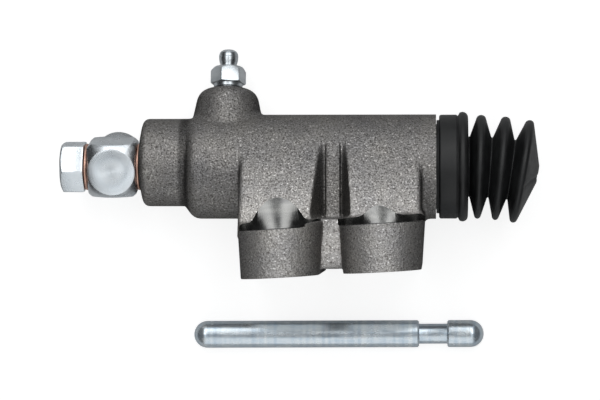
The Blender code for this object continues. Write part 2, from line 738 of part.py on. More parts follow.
def piston():
    high, low = PISTON_RIGHT_X, PISTON_LEFT_X
    groove_top = high - PISTON_LAND - PISTON_SLOPE
    groove_low = groove_top - CUP_GROOVE_WIDTH
    ball = high - PISTON_SOCKET_DEPTH + PISTON_SOCKET_RADIUS
    profile = [
        *arc(0, ball, PISTON_SOCKET_RADIUS, -90, 0, 5),
        (PISTON_SOCKET_MOUTH, high),
        (PISTON_RADIUS - PISTON_EDGE, high),
        (PISTON_RADIUS, high - PISTON_EDGE),
        (PISTON_RADIUS, groove_top),
        (CUP_GROOVE_RADIUS, groove_top),
        (CUP_GROOVE_RADIUS, groove_low),
        (PISTON_RADIUS, groove_low),
        (PISTON_RADIUS, groove_low - PISTON_SLOPE),
        (PISTON_WAIST_RADIUS, groove_low - 2 * PISTON_SLOPE),
        (PISTON_WAIST_RADIUS, low + PISTON_LAND + PISTON_SLOPE),
        (PISTON_RADIUS, low + PISTON_LAND),
        (PISTON_RADIUS, low + PISTON_EDGE),
        (PISTON_RADIUS - PISTON_EDGE, low),
        (0, low),
    ]
    turned("piston", profile, SMALL_STEPS, alloy, rotation=ALONG_BORE)
    top, bottom = groove_top - FIT_GAP, groove_low + FIT_GAP
    inner = CUP_GROOVE_RADIUS + FIT_GAP
    middle = (inner + PISTON_RADIUS) / 2
    ring = [
        (PISTON_RADIUS, top),
        (PISTON_RADIUS, bottom),
        (PISTON_RADIUS - CUP_LIP, bottom),
        (middle, (top + bottom) / 2),
        (inner + CUP_LIP, bottom),
        (inner, bottom),
        (inner, top),
    ]
    turned("secondary_cup", ring, SMALL_STEPS, rubber, rotation=ALONG_BORE)


def primary_cup():
    lip = CUP_BACK_X - CUP_LENGTH
    base = CUP_BACK_X - CUP_BASE
    profile = [
        (0, CUP_BACK_X),
        (PISTON_RADIUS - CUP_EDGE, CUP_BACK_X),
        (PISTON_RADIUS, CUP_BACK_X - CUP_EDGE),
        (PISTON_RADIUS, lip),
        (PISTON_RADIUS - CUP_LIP, lip),
        (SPRING_SEAT_RADIUS + 2 * CUP_EDGE, base - CUP_EDGE),
        (SPRING_SEAT_RADIUS + FIT_GAP, base),
        (0, base),
    ]
    turned("primary_cup", profile, SMALL_STEPS, rubber, rotation=ALONG_BORE)


def spring_seat():
    hub_end = SEAT_FLANGE_X - SPRING_SEAT_HUB
    profile = [
        (0, SEAT_FACE_X),
        (SPRING_SEAT_RADIUS, SEAT_FACE_X),
        (SPRING_SEAT_RADIUS, SEAT_FLANGE_X),
        (SPRING_SEAT_HUB_RADIUS, SEAT_FLANGE_X),
        (SPRING_SEAT_HUB_RADIUS - SPRING_SEAT_HUB_TAPER, hub_end),
        (0, hub_end),
    ]
    turned("spring_seat", profile, SMALL_STEPS, zinc, rotation=ALONG_BORE)


def wire(name, points, radius, coat):
    """A round wire through points, in metres."""
    curve = bpy.data.curves.new(name, "CURVE")
    curve.dimensions = "3D"
    curve.bevel_depth = radius * MM
    curve.bevel_resolution = 2
    curve.use_fill_caps = True
    line = curve.splines.new("POLY")
    line.points.add(len(points) - 1)
    for point, place in zip(line.points, points):
        point.co = (*place, 1)
    made = bpy.data.objects.new(name, curve)
    made.parent = bore_axis
    parts.objects.link(made)
    curve.materials.append(coat)
    return made


def snap_ring():
    turns = np.radians(np.linspace(SNAP_RING_GAP / 2, 360 - SNAP_RING_GAP / 2, 33))
    around = SNAP_RING_RADIUS * np.column_stack([np.cos(turns), np.sin(turns)])
    points = np.column_stack([np.full(len(turns), SNAP_RING_X), around]) * MM
    wire("snap_ring", points, SNAP_WIRE_RADIUS, spring_steel)


def return_spring():
    """A cone spring: its end turns lie nearly flat, as (turns - sine) spacing makes them."""
    low = BORE_BOTTOM_X + FIT_GAP + SPRING_WIRE_RADIUS
    high = SEAT_FLANGE_X - FIT_GAP - SPRING_WIRE_RADIUS
    share = np.linspace(0, 1, round(SPRING_TURNS * 12) + 1)
    rise = share - SPRING_END_CROWDING * np.sin(math.tau * share) / math.tau
    radius = SPRING_LARGE_RADIUS + (SPRING_SMALL_RADIUS - SPRING_LARGE_RADIUS) * share
    turns = math.tau * SPRING_TURNS * share
    points = np.column_stack([low + (high - low) * rise, radius * np.cos(turns), radius * np.sin(turns)])
    wire("return_spring", points * MM, SPRING_WIRE_RADIUS, spring_steel)


# The boot


def tangent_angle(first, second):
    """Direction, in degrees, in which the line that touches two circles lies from both centres.
    Each circle is (height, radius from the axis, round), with a hollow one's round below zero."""
    across, along = second[1] - first[1], second[0] - first[0]
    apart = math.hypot(across, along)
    return math.degrees(math.atan2(along, across) - math.acos((first[2] - second[2]) / apart))


def bellows_line(circles, start, end, inset, count):
    """Walks over circles from one angle to another, each moved in by the inset."""
    angles = [start] + [tangent_angle(a, b) for a, b in zip(circles, circles[1:])] + [end]
    points = []
    for circle, before, after in zip(circles, angles, angles[1:]):
        if circle[2] < 0:
            before, after = before + 180, after + 180
        size = abs(circle[2] - inset)
        points += arc(circle[1], circle[0], size, before, after, count)
    return points


def boot_profile():
    """From the mouth along the inner line to the tip, round the hole's rim and back outside."""
    circles = [(BEAD_X, BEAD_PEAK_RADIUS - BEAD_ROUND, BEAD_ROUND)]
    for i in range(FOLD_COUNT):
        valley_x = FIRST_VALLEY_X if i == 0 else FIRST_FOLD_X + FOLD_PITCH * (i - 0.5)
        circles.append((valley_x, VALLEY_RADIUS + VALLEY_ROUND, -VALLEY_ROUND))
        circles.append((FIRST_FOLD_X + FOLD_PITCH * i, FOLD_PEAK_RADIUS - FOLD_ROUND, FOLD_ROUND))
    edge = COLLAR_EDGE_ROUND
    rim = BOOT_WALL / 2
    tip = (BOOT_TIP_X - rim, BOOT_HOLE_RADIUS + rim, rim)
    cone = tangent_angle(circles[-1], tip)
    outer = bellows_line(circles, -30, cone, 0, 3)
    around_rim = arc(tip[1], tip[0], rim, cone, cone + 180, 3)
    inner = bellows_line(circles[1:], 90, cone, BOOT_WALL, 3)[::-1]
    bead_inside = FIRST_VALLEY_X - VALLEY_ROUND - BOOT_WALL
    hold = SPIGOT_RADIUS + FIT_GAP
    rib_top = SPIGOT_END_X - BOOT_GROOVE_START - FIT_GAP
    rib_low = rib_top - BOOT_GROOVE_WIDTH + 2 * FIT_GAP
    rib = BOOT_GROOVE_RADIUS + FIT_GAP
    inside = [
        (hold, bead_inside),
        (hold, rib_top),
        (rib, rib_top),
        (rib, rib_low),
        (hold, rib_low),
        (hold, BOOT_MOUTH_X),
    ]
    collar = [
        *arc(COLLAR_RADIUS - edge, BOOT_MOUTH_X + edge, edge, -90, 0, 2),
        (COLLAR_RADIUS, BOOT_MOUTH_X + COLLAR_LENGTH - edge),
        (COLLAR_RADIUS - edge / 3, BOOT_MOUTH_X + COLLAR_LENGTH),
    ]
    return (collar + outer + around_rim + inner + inside)[::-1]


def bend_boot(mesh):
    """Turns the far end down: the axis follows an arc, then goes straight on."""
    start, length = BOOT_BEND_START * MM, BOOT_BEND_LENGTH * MM
    full = math.radians(BOOT_BEND)
    size = length / full
    for vertex in mesh.vertices:
        x, y = vertex.co.x, vertex.co.y
        past = x - start
        if past <= 0:
            continue
        turn = min(past / length, 1) * full
        beyond = max(past - length, 0)
        vertex.co.x = start + size * math.sin(turn) + beyond * math.cos(turn) + y * math.sin(turn)
        vertex.co.y = -size * (1 - math.cos(turn)) - beyond * math.sin(turn) + y * math.cos(turn)


def dust_boot():
    mesh = turned_mesh("dust_boot", boot_profile(), MEDIUM_STEPS, ALONG_BORE)
    bend_boot(mesh)
    add_object("dust_boot", mesh, rubber)


# The push rod


def push_rod():
    groove = ROD_GROOVE_START
    groove_end = groove + ROD_GROOVE_WIDTH
    end = ROD_LENGTH
    profile = [
        *arc(0, end - ROD_RADIUS, ROD_RADIUS, 90, 0, 5),
        (ROD_RADIUS, groove_end + ROD_EDGE),
        (ROD_RADIUS - ROD_EDGE, groove_end),
        (ROD_GROOVE_RADIUS, groove_end),
        (ROD_GROOVE_RADIUS, groove),
        (ROD_RADIUS - ROD_EDGE, groove),
        (ROD_RADIUS, groove - ROD_EDGE),
        *arc(0, ROD_RADIUS, ROD_RADIUS, 0, -90, 5),
    ]
    place = (ROD_LEFT_X, -ROD_DROP, ROD_RADIUS - BACK_DEPTH)
    turned("push_rod", profile, SMALL_STEPS, zinc, location=place, rotation=(0, 90, ROD_TURN))


def stand_on_origin():
    """Moves the part so that its footprint's middle is the origin and its back lies on Z = 0."""
    bpy.context.view_layer.update()
    graph = bpy.context.evaluated_depsgraph_get()
    corners = []
    for made in parts.objects:
        if made.type == "EMPTY":
            continue
        shape = made.evaluated_get(graph)
        mesh = shape.to_mesh()
        points = np.empty(len(mesh.vertices) * 3, np.float32)
        mesh.vertices.foreach_get("co", points)
        shape.to_mesh_clear()
        turn = np.array(shape.matrix_world)
        points = points.reshape(-1, 3) @ turn[:3, :3].T + turn[:3, 3]
        corners += [points.min(0), points.max(0)]
    low, high = np.min(corners, 0), np.max(corners, 0)
    bore_axis.location = (-(low[0] + high[0]) / 2, -(low[1] + high[1]) / 2, -low[2])


cylinder_body()
washer("inner_copper_washer", INNER_WASHER_X)
washer("outer_copper_washer", OUTER_WASHER_X)
union_block()
union_bolt()
bleed_screw()
piston()
primary_cup()
spring_seat()
snap_ring()
return_spring()
dust_boot()
push_rod()
stand_on_origin()
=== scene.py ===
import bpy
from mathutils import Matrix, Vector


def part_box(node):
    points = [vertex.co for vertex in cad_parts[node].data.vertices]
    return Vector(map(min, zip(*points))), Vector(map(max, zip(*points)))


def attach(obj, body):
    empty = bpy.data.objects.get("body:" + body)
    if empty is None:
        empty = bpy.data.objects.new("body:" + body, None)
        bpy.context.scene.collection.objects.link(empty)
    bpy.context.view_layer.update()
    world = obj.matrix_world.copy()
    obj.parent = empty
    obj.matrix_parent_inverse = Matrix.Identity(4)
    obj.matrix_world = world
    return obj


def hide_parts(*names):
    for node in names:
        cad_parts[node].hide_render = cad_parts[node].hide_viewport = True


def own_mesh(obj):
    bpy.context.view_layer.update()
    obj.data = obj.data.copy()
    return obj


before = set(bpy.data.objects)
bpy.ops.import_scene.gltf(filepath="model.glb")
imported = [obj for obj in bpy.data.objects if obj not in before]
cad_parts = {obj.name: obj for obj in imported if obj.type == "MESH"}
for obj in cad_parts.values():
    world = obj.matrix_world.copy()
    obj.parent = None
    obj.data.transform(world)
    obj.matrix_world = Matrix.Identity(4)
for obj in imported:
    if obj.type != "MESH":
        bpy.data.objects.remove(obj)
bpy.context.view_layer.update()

import math

import bmesh
import bpy
import numpy as np
from mathutils import Vector

# Clutch slave cylinder lying on its flat back, with its push rod beside it.
# Sizes below are millimetres from the bore's axis, with x from midway between the bolts towards the
# boot, y towards the bleed screw and z up from the table.

mm = 0.001
boltHeadX = -100.7             # outer end of the union bolt's head
washerLow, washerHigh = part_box("inner_copper_washer")
origin = np.array([
    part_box("union_bolt")[0].x / mm - boltHeadX,
    (washerLow.y + washerHigh.y) / 2 / mm,
    (washerLow.z + washerHigh.z) / 2 / mm,
])


def toWorld(point):
    return tuple((np.array(point, float) + origin) * mm)


# Node helpers

def feed(tree, made, inputs):
    # Sockets are linked, and values are set.
    for key, value in inputs.items():
        if isinstance(value, bpy.types.NodeSocket):
            tree.links.new(value, made.inputs[key])
        else:
            made.inputs[key].default_value = value
    return made


def addNode(tree, kind, inputs=None, **settings):
    made = tree.nodes.new("ShaderNode" + kind)
    for key, value in settings.items():
        setattr(made, key, value)
    return feed(tree, made, inputs or {})


def calculate(tree, operation, *values):
    return addNode(tree, "Math", dict(enumerate(values)), operation=operation).outputs[0]


def vectorStep(tree, operation, first, second=None):
    # A Vector Math node, whose second value is the factor where it scales.
    inputs = {0: first}
    if second is not None:
        inputs["Scale" if operation == "SCALE" else 1] = second
    made = addNode(tree, "VectorMath", inputs, operation=operation)
    return made.outputs["Value" if operation in ("DOT_PRODUCT", "LENGTH") else "Vector"]


def spread(tree, value, low, high, start, end, kind="LINEAR"):
    # A value from low to high becomes one from start to end.
    inputs = {"Value": value, "From Min": low, "From Max": high, "To Min": start, "To Max": end}
    return addNode(tree, "MapRange", inputs, interpolation_type=kind).outputs[0]


def noise(tree, vector, scale, detail, roughness=0.5):
    inputs = {"Vector": vector, "Scale": scale, "Detail": detail, "Roughness": roughness}
    return addNode(tree, "TexNoise", inputs).outputs[0]


def bumpFrom(tree, height, strength, distance):
    inputs = {"Strength": strength, "Distance": distance, "Height": height}
    return addNode(tree, "Bump", inputs).outputs[0]


def ramp(tree, value, stops):
    # A colour ramp from (place, colour) pairs.
    made = addNode(tree, "ValToRGB", {"Fac": value})
    first, last = made.color_ramp.elements
    first.position, last.position = stops[0][0], stops[-1][0]
    first.color, last.color = (*stops[0][1], 1), (*stops[-1][1], 1)
    for place, colour in stops[1:-1]:
        made.color_ramp.elements.new(place).color = (*colour, 1)
    return made.outputs["Color"]


def newGroup(name, inputs, outputs):
    tree = bpy.data.node_groups.new(name, "ShaderNodeTree")
    for label, kind, value in inputs:
        socket = tree.interface.new_socket(name=label, in_out="INPUT", socket_type="NodeSocket" + kind)
        socket.default_value = value
    for label in outputs:
        tree.interface.new_socket(name=label, in_out="OUTPUT", socket_type="NodeSocketFloat")
    return tree, tree.nodes.new("NodeGroupInput").outputs, tree.nodes.new("NodeGroupOutput")


def newMaterial(name, settings):
    made = bpy.data.materials.new(name)
    made.use_nodes = True
    tree = made.node_tree
    shader = feed(tree, tree.nodes["Principled BSDF"], settings)
    return made, tree, shader, addNode(tree, "TexCoord").outputs["Object"]


# Shared effects

# Scale, detail and roughness of each noise. The fine turning's scale is each material's own.
turning = {"fine": (2.0, 0.6), "bands": (420.0, 1.0)}
sand = {
    "bumps": (900.0, 3.0, 0.62),
    "grit": (2600.0, 1.0, 0.5),
    "specks": (1700.0, 2.0, 0.7),
    "tone": (70.0, 4.0, 0.6),
}
gritShare = 0.42                           # of the bumps' height


def makeLatheGroup():
    # Lathe and mill marks: noise of the distance from an axis and the distance along it, so a flat
    # face gets rings and a round wall gets lines round it.
    tree, given, result = newGroup(
        "latheMarks",
        [("Position", "Vector", (0, 0, 0)), ("Centre", "Vector", (0, 0, 0)),
         ("Axis", "Vector", (0, 0, 1)), ("Pitch", "Float", 3000)],
        ["Height", "Tone"],
    )
    offset = vectorStep(tree, "SUBTRACT", given["Position"], given["Centre"])
    along = vectorStep(tree, "DOT_PRODUCT", offset, given["Axis"])
    across = vectorStep(tree, "LENGTH", vectorStep(tree, "CROSS_PRODUCT", offset, given["Axis"]))
    pair = addNode(tree, "CombineXYZ", {"X": across, "Y": along}).outputs[0]
    feed(tree, result, {
        "Height": noise(tree, pair, given["Pitch"], *turning["fine"]),
        "Tone": noise(tree, pair, *turning["bands"]),
    })
    return tree


def makeGrainGroup():
    # Sand grain: small rounded bumps, finer grit on them, and a mask of bright specks.
    tree, given, result = newGroup(
        "sandGrain",
        [("Position", "Vector", (0, 0, 0)), ("Grain", "Float", 1.0)],
        ["Height", "Speck", "Tone"],
    )
    place = vectorStep(tree, "SCALE", given["Position"], given["Grain"])
    made = {key: noise(tree, place, *value) for key, value in sand.items()}
    height = calculate(tree, "MULTIPLY_ADD", made["grit"], gritShare, made["bumps"])
    feed(tree, result, {"Height": height, "Speck": made["specks"], "Tone": made["tone"]})
    return tree


print("scene: shared effects")
latheMarks = makeLatheGroup()
sandGrain = makeGrainGroup()


# Materials

iron = {
    "metal": 0.88,
    "edgeTint": (0.3, 0.3, 0.3, 1),
    "grain": 1.0,                          # larger is finer
    "bump": (0.75, 0.00042),               # strength and depth in metres
    "dark": (0.12, 0.113, 0.107),
    "middle": (0.33, 0.322, 0.314),
    "bright": (0.88, 0.86, 0.84),
    "stain": ((0.80, 0.80, 0.82), (1.08, 1.06, 1.03)),
    "rough": (0.62, 0.34),                 # between the specks and on them
    "paintedLight": (19.0, 27.0, 1.0, 1.85),    # painted light: from one height to another, and its tone at both
    "sides": (0.65, 0.97, 0.42),           # painted shade: from one sideways slope to another, and its tone there
    "shoulder": (-55.0, 1.7, 0.9, 0.42),   # painted shade: place, half width, soft edge and tone of its shaded foot
}


def castIron():
    # Grain and stain give the colour, and three masks of place and slope darken or brighten it as painted
    # light and shade.
    made, tree, shader, place = newMaterial("castIron", {
        "Metallic": iron["metal"], "Specular Tint": iron["edgeTint"]})
    grain = addNode(tree, "Group", {"Position": place, "Grain": iron["grain"]}, node_tree=sandGrain)
    speck = grain.outputs["Speck"]
    colour = ramp(tree, speck, [(0.34, iron["dark"]), (0.47, iron["middle"]), (0.60, iron["middle"]),
                                (0.74, iron["bright"])])
    stain = ramp(tree, grain.outputs["Tone"], [(0.3, iron["stain"][0]), (0.7, iron["stain"][1])])
    mixed = addNode(tree, "Mix", {"Factor": 1.0, 6: colour, 7: stain}, data_type="RGBA",
                    blend_type="MULTIPLY")
    parts = addNode(tree, "SeparateXYZ", {"Vector": place}).outputs
    # Painted light: what stands out in front of the barrel is brightened more the higher it rises towards
    # the camera.
    low, high, unlitTone, litTone = iron["paintedLight"]
    paintedLight = spread(tree, parts["Z"], toWorld((0, 0, low))[2], toWorld((0, 0, high))[2], unlitTone, litTone)
    # Painted shade: the groove at the foot of the shoulder is darkened.
    middle, half, soft, least = iron["shoulder"]
    away = calculate(tree, "ADD", parts["X"], -toWorld((middle, 0, 0))[0])
    foot = spread(tree, calculate(tree, "ABSOLUTE", away), (half - soft) * mm, (half + soft) * mm,
                  least, 1.0, "SMOOTHSTEP")
    # Painted shade: sides that face left and right are darkened more than fronts and backs.
    slopes = addNode(tree, "SeparateXYZ", {"Vector": addNode(tree, "TexCoord").outputs["Normal"]}).outputs
    low, high, least = iron["sides"]
    sides = spread(tree, calculate(tree, "ABSOLUTE", slopes["X"]), low, high, 1.0, least)
    tone = calculate(tree, "MULTIPLY", calculate(tree, "MULTIPLY", paintedLight, foot), sides)
    feed(tree, shader, {
        "Base Color": vectorStep(tree, "SCALE", mixed.outputs[2], tone),
        "Roughness": spread(tree, speck, 0.4, 0.7, *iron["rough"]),
        "Normal": bumpFrom(tree, grain.outputs["Height"], *iron["bump"]),
    })
    return made


def turnedMetal(name, centre, axis, look):
    # Metal with lathe marks round one axis, and blotches of tone as plating and handling leave.
    made, tree, shader, place = newMaterial(name, {
        "Metallic": look.get("metal", 1.0), "Anisotropic": look.get("brushed", 0.0)})
    centre = toWorld(centre)
    marks = addNode(tree, "Group", {"Position": place, "Centre": centre, "Axis": axis,
                                    "Pitch": look["pitch"]}, node_tree=latheMarks)
    drawn = addNode(tree, "Mapping", {"Vector": place, "Scale": look.get("stretch", (1, 1, 1))})
    cloud = noise(tree, drawn.outputs[0], look["cloud"], 4.0, 0.6)
    both = calculate(tree, "MULTIPLY", calculate(tree, "ADD", marks.outputs["Tone"], cloud), 0.5)
    offset = vectorStep(tree, "SUBTRACT", place, centre)
    feed(tree, shader, {
        "Tangent": vectorStep(tree, "CROSS_PRODUCT", offset, axis),
        "Base Color": ramp(tree, both, [(0.3, look["dark"]), (0.7, look["bright"])]),
        "Roughness": spread(tree, cloud, 0.3, 0.7, *look["rough"]),
        "Normal": bumpFrom(tree, marks.outputs["Height"], *look["bump"]),
    })
    return made


# Pitch and cloud are noise scales, rough is that of thin and of thick cloud, and bump is as above.
zincLook = {"pitch": 2600.0, "cloud": 160.0, "dark": (0.74, 0.80, 0.85), "bright": (0.93, 0.97, 1.0),
            "rough": (0.22, 0.34), "bump": (0.5, 0.00006), "brushed": 0.75}
bleedLook = dict(zincLook, dark=(0.62, 0.67, 0.71), bright=(0.82, 0.86, 0.89), rough=(0.24, 0.36),
                 brushed=0.3)
rodLook = {"pitch": 2600.0, "cloud": 520.0, "dark": (0.52, 0.64, 0.76), "bright": (0.93, 0.98, 1.0),
           "rough": (0.18, 0.30), "bump": (0.3, 0.00005), "stretch": (0.25, 1, 1), "metal": 0.75}
copperLook = {"pitch": 2200.0, "cloud": 500.0, "dark": (0.72, 0.42, 0.32), "bright": (0.92, 0.62, 0.50),
              "rough": (0.26, 0.42), "bump": (0.3, 0.00005)}
cutIronLook = {"pitch": 1500.0, "cloud": 300.0, "dark": (0.17, 0.17, 0.17), "bright": (0.31, 0.31, 0.30),
               "rough": (0.16, 0.28), "bump": (0.4, 0.00006)}
milledLook = {"pitch": 1500.0, "cloud": 200.0, "dark": (0.60, 0.60, 0.59), "bright": (0.76, 0.76, 0.75),
              "rough": (0.24, 0.38), "bump": (0.5, 0.00008)}
alloyLook = {"pitch": 2200.0, "cloud": 200.0, "dark": (0.62, 0.62, 0.61), "bright": (0.80, 0.80, 0.79),
             "rough": (0.22, 0.34), "bump": (0.3, 0.00006)}
wireLook = {"pitch": 1800.0, "cloud": 900.0, "dark": (0.22, 0.22, 0.23), "bright": (0.40, 0.40, 0.41),
            "rough": (0.28, 0.45), "bump": (0.2, 0.00004)}
rubberLook = {"cloud": 120.0, "skin": 2400.0, "dark": (0.0065, 0.0068, 0.0072),
              "bright": (0.017, 0.018, 0.019), "rough": (0.38, 0.55), "bump": (0.25, 0.00008)}


def blackRubber():
    # Rubber whose tone and gloss drift in clouds, under a fine skin.
    look = rubberLook
    made, tree, shader, place = newMaterial("blackRubber", {"IOR": 1.5, "Specular IOR Level": 0.5})
    cloud = noise(tree, place, look["cloud"], 5.0, 0.65)
    skin = noise(tree, place, look["skin"], 2.0)
    feed(tree, shader, {
        "Base Color": ramp(tree, cloud, [(0.35, look["dark"]), (0.72, look["bright"])]),
        "Roughness": spread(tree, cloud, 0.3, 0.7, *look["rough"]),
        "Normal": bumpFrom(tree, skin, *look["bump"]),
    })
    return made


# Mesh helpers

def putObject(name, data):
    made = bpy.data.objects.new(name, data)
    bpy.context.scene.collection.objects.link(made)
    return made


def putMesh(name, points, faces, coats, faceCoats=None):
    # Points in millimetres become a mesh object with its place in its mesh.
    mesh = bpy.data.meshes.new(name)
    mesh.from_pydata(((points + origin) * mm).tolist(), [], np.array(faces).tolist())
    for coat in coats:
        mesh.materials.append(coat)
    if faceCoats is not None:
        mesh.polygons.foreach_set("material_index", faceCoats)
    mesh.polygons.foreach_set("use_smooth", np.ones(len(mesh.polygons), bool))
    return putObject(name, mesh)


def gridFaces(rows, columns):
    # Quads of a grid of rows by columns whose columns close round.
    row, column = np.meshgrid(np.arange(rows - 1), np.arange(columns), indexing="ij")
    following = (column + 1) % columns
    corners = [row * columns + column, row * columns + following,
               (row + 1) * columns + following, (row + 1) * columns + column]
    return np.stack([corner.ravel() for corner in corners], 1)


def closeMesh(made, angle=32):
    # Poles and doubled points are merged, faces turned outwards and sharp edges marked.
    shape = bmesh.new()
    shape.from_mesh(made.data)
    bmesh.ops.remove_doubles(shape, verts=shape.verts, dist=1e-6)
    bmesh.ops.dissolve_degenerate(shape, edges=shape.edges, dist=1e-7)
    bmesh.ops.recalc_face_normals(shape, faces=shape.faces)
    shape.to_mesh(made.data)
    shape.free()
    made.data.set_sharp_from_angle(angle=math.radians(angle))
    return made


def roundedLine(corners, count=5):
    # Each corner (height, radius, rounding) becomes an arc that touches both its sides.
    places = np.array([corner[:2] for corner in corners], float)
    points = [places[:1]]
    for i in range(1, len(corners) - 1):
        rounding = corners[i][2]
        if rounding == 0:
            points.append(places[i:i + 1])
            continue
        back, on = places[i - 1] - places[i], places[i + 1] - places[i]
        back, on = back / np.linalg.norm(back), on / np.linalg.norm(on)
        half = math.acos(np.clip(back @ on, -1, 1)) / 2
        cut = rounding / math.tan(half)
        centre = places[i] + (back + on) / np.linalg.norm(back + on) * rounding / math.sin(half)
        start, end = places[i] + back * cut - centre, places[i] + on * cut - centre
        sweep = math.pi - 2 * half
        share = np.linspace(0, 1, count + 1)[:, None]
        points.append(centre + (np.sin((1 - share) * sweep) * start + np.sin(share * sweep) * end)
                      / math.sin(sweep))
    points.append(places[-1:])
    return np.concatenate(points)


lean = math.radians(12)
tiltUp = math.radians(15)
alongBore = ((0, 1, 0), (0, 0, 1), (1, 0, 0))        # two sides and the axis
alongBleed = ((1, 0, 0), (0, math.sin(lean), math.cos(lean)), (0, math.cos(lean), -math.sin(lean)))
alongUnion = ((1, 0, 0), (0, math.cos(tiltUp), math.sin(tiltUp)), (0, -math.sin(tiltUp), math.cos(tiltUp)))


def turnedShape(name, profile, frameAxes, centre, steps, coats, angle=32):
    # Height along the axis and radius from it, turned round: centre + height*axis
    # + radius*(cos*side + sin*other).
    side, other, axis = np.array(frameAxes, float)
    turn = np.linspace(0, math.tau, steps, endpoint=False)[None, :, None]
    height, radius = np.array(profile, float).T[:, :, None, None]
    points = centre + height * axis + radius * (np.cos(turn) * side + np.sin(turn) * other)
    return closeMesh(putMesh(name, points.reshape(-1, 3), gridFaces(len(profile), steps), coats), angle)


sixWays = np.radians(np.arange(6) * 60.0)


def polygonOutline(halfWidths, normals, rounding, perSide, perCorner):
    # A convex outline from its sides' distances and directions, its corners rounded by arcs.
    sides = len(normals)
    lines = np.stack([np.cos(normals), np.sin(normals)], 1)
    inner = np.array(halfWidths) - rounding
    corners = np.array([np.linalg.solve(np.stack([lines[i], lines[(i + 1) % sides]]),
                                        [inner[i], inner[(i + 1) % sides]]) for i in range(sides)])
    share = np.linspace(0, 1, perCorner)[None, :]
    step = (np.roll(normals, -1) - normals) % math.tau
    turn = normals[:, None] + share * step[:, None]
    arcs = corners[:, None, :] + rounding * np.stack([np.cos(turn), np.sin(turn)], 2)
    ends, starts = arcs[:, -1], np.roll(arcs[:, 0], -1, axis=0)
    run = np.linspace(0, 1, perSide + 2)[1:-1][None, :, None]
    edges = ends[:, None] * (1 - run) + starts[:, None] * run
    return np.concatenate([arcs, edges], 1).reshape(-1, 2)


def facetedShape(name, outline, rows, frameAxes, centre, coats):
    # Rows go from end to end. A row (height, radius) is round. A row (height, inset, slope, radius)
    # follows the outline, and falls by the slope for each millimetre outside the radius.
    side, other, axis = np.array(frameAxes, float)
    reach = np.linalg.norm(outline, axis=1, keepdims=True)
    way = outline / reach
    layers = []
    for row in rows:
        if len(row) == 2:
            height, flat = np.full(len(outline), float(row[0])), way * row[1]
        else:
            level, inset, slope, fromRadius = row
            height, flat = level - slope * (reach[:, 0] - fromRadius), way * (reach - inset)
        layers.append(centre + height[:, None] * axis + flat[:, :1] * side + flat[:, 1:] * other)
    return closeMesh(putMesh(name, np.concatenate(layers), gridFaces(len(rows), len(outline)), coats))


def cutBy(made, cutters, angle=30, solver="EXACT"):
    # Takes the cutters' shapes away, and marks the sharp edges.
    for cutter in cutters:
        step = made.modifiers.new(cutter.name, "BOOLEAN")
        step.operation, step.solver, step.object = "DIFFERENCE", solver, cutter
    bpy.context.view_layer.update()
    graph = bpy.context.evaluated_depsgraph_get()
    mesh = bpy.data.meshes.new_from_object(made.evaluated_get(graph))
    made.modifiers.clear()
    made.data = mesh
    for cutter in cutters:
        bpy.data.objects.remove(cutter, do_unlink=True)
    made.data.set_sharp_from_angle(angle=math.radians(angle))
    return made


def finishPiece(made, body, node):
    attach(made, body)
    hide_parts(node)
    return made


# The casting

casting = {
    "step": 0.6,                           # of the grid on which its surface is found
    "low": (-74.0, -41.5, -22.0),
    "high": (47.0, 31.5, 57.5),
    "barrelRadius": 19.0, "barrelEnd": 45.5,
    "shoulderX": -52.7, "shoulderRadius": 18.0, "shoulderSlope": 1.33,
    "inletRadius": 16.0, "inletRise": 1.55, "inletFace": -71.5, "inletFlat": 10.4, "inletSlope": 0.22,
    "inletEnd": -46.0,
    "bleedX": -40.2, "bleedTop": 28.8, "bossRadius": 11.24, "bossLevel": 25.4, "bossTaper": 0.2015,
    "bossFoot": 8.0,
    "back": -20.0, "backTop": -6.0,
    "boltPitch": 36.6, "boltOffset": 40.5, "mountDrop": 38.0, "mountTilt": math.radians(3.15),
    "lugHeight": 19.3, "lugTopRadius": 14.9, "lugBottomRadius": 13.7, "rightLugShift": 0.8,
    "seatHeight": 16.7, "seatRadius": 15.4, "boltHole": 5.5, "millX": -60.0,
    "padEdges": (34.2, 31.0), "padSlopes": (22.0, 19.0), "padTwist": (0.0, 0.06), "twistFade": 12.0,
    "padProud": 0.05,
    "ribX": -0.7, "ribHalf": 2.7, "ribDraft": 0.05, "webHalf": 5.5, "webFront": 40.9, "webRise": 1.7,
    "slotFloor": 16.5, "slotTop": 10.8, "slotFoot": -19.5, "slotLength": 26.0, "slotFade": 3.0,
    "slotStart": 1.3, "slotSpread": (3.6, 2.4),
    "spigotX": 36.2, "spigotEnd": 43.5, "spigotRadius": 15.5, "spigotGroove": 14.5,
    "boreRadius": 11.1, "boreBottom": -45.0, "ringRadius": 12.15, "portRadius": 6.3, "portMouth": 6.9,
    "bleedHole": 5.0, "bleedDuct": 1.5,
}
fillets = {"inlet": 0.7, "boss": 2.2, "pads": 1.0, "web": 0.7, "lugs": 2.0}
rounds = {
    "shoulder": 2.0, "inlet": 2.0, "boss": 4.6, "rib": 1.0, "padInner": 1.6, "padOuter": 2.0,
    "lugTop": 1.8, "lugFoot": 0.8, "slot": 0.5, "webFront": 1.6, "webFoot": 3.0, "webTop": 0.6, "back": 1.4,
}
mountTilt = casting["mountTilt"]
boltAxes = ((math.cos(mountTilt), math.sin(mountTilt), 0), (0, 0, 1),
            (-math.sin(mountTilt), math.cos(mountTilt), 0))


def softMax(a, b, size):
    # The larger of two distances, with the edge where they meet rounded by size.
    share = np.clip(0.5 + 0.5 * (a - b) / size, 0, 1)
    return b + (a - b) * share + size * share * (1 - share)


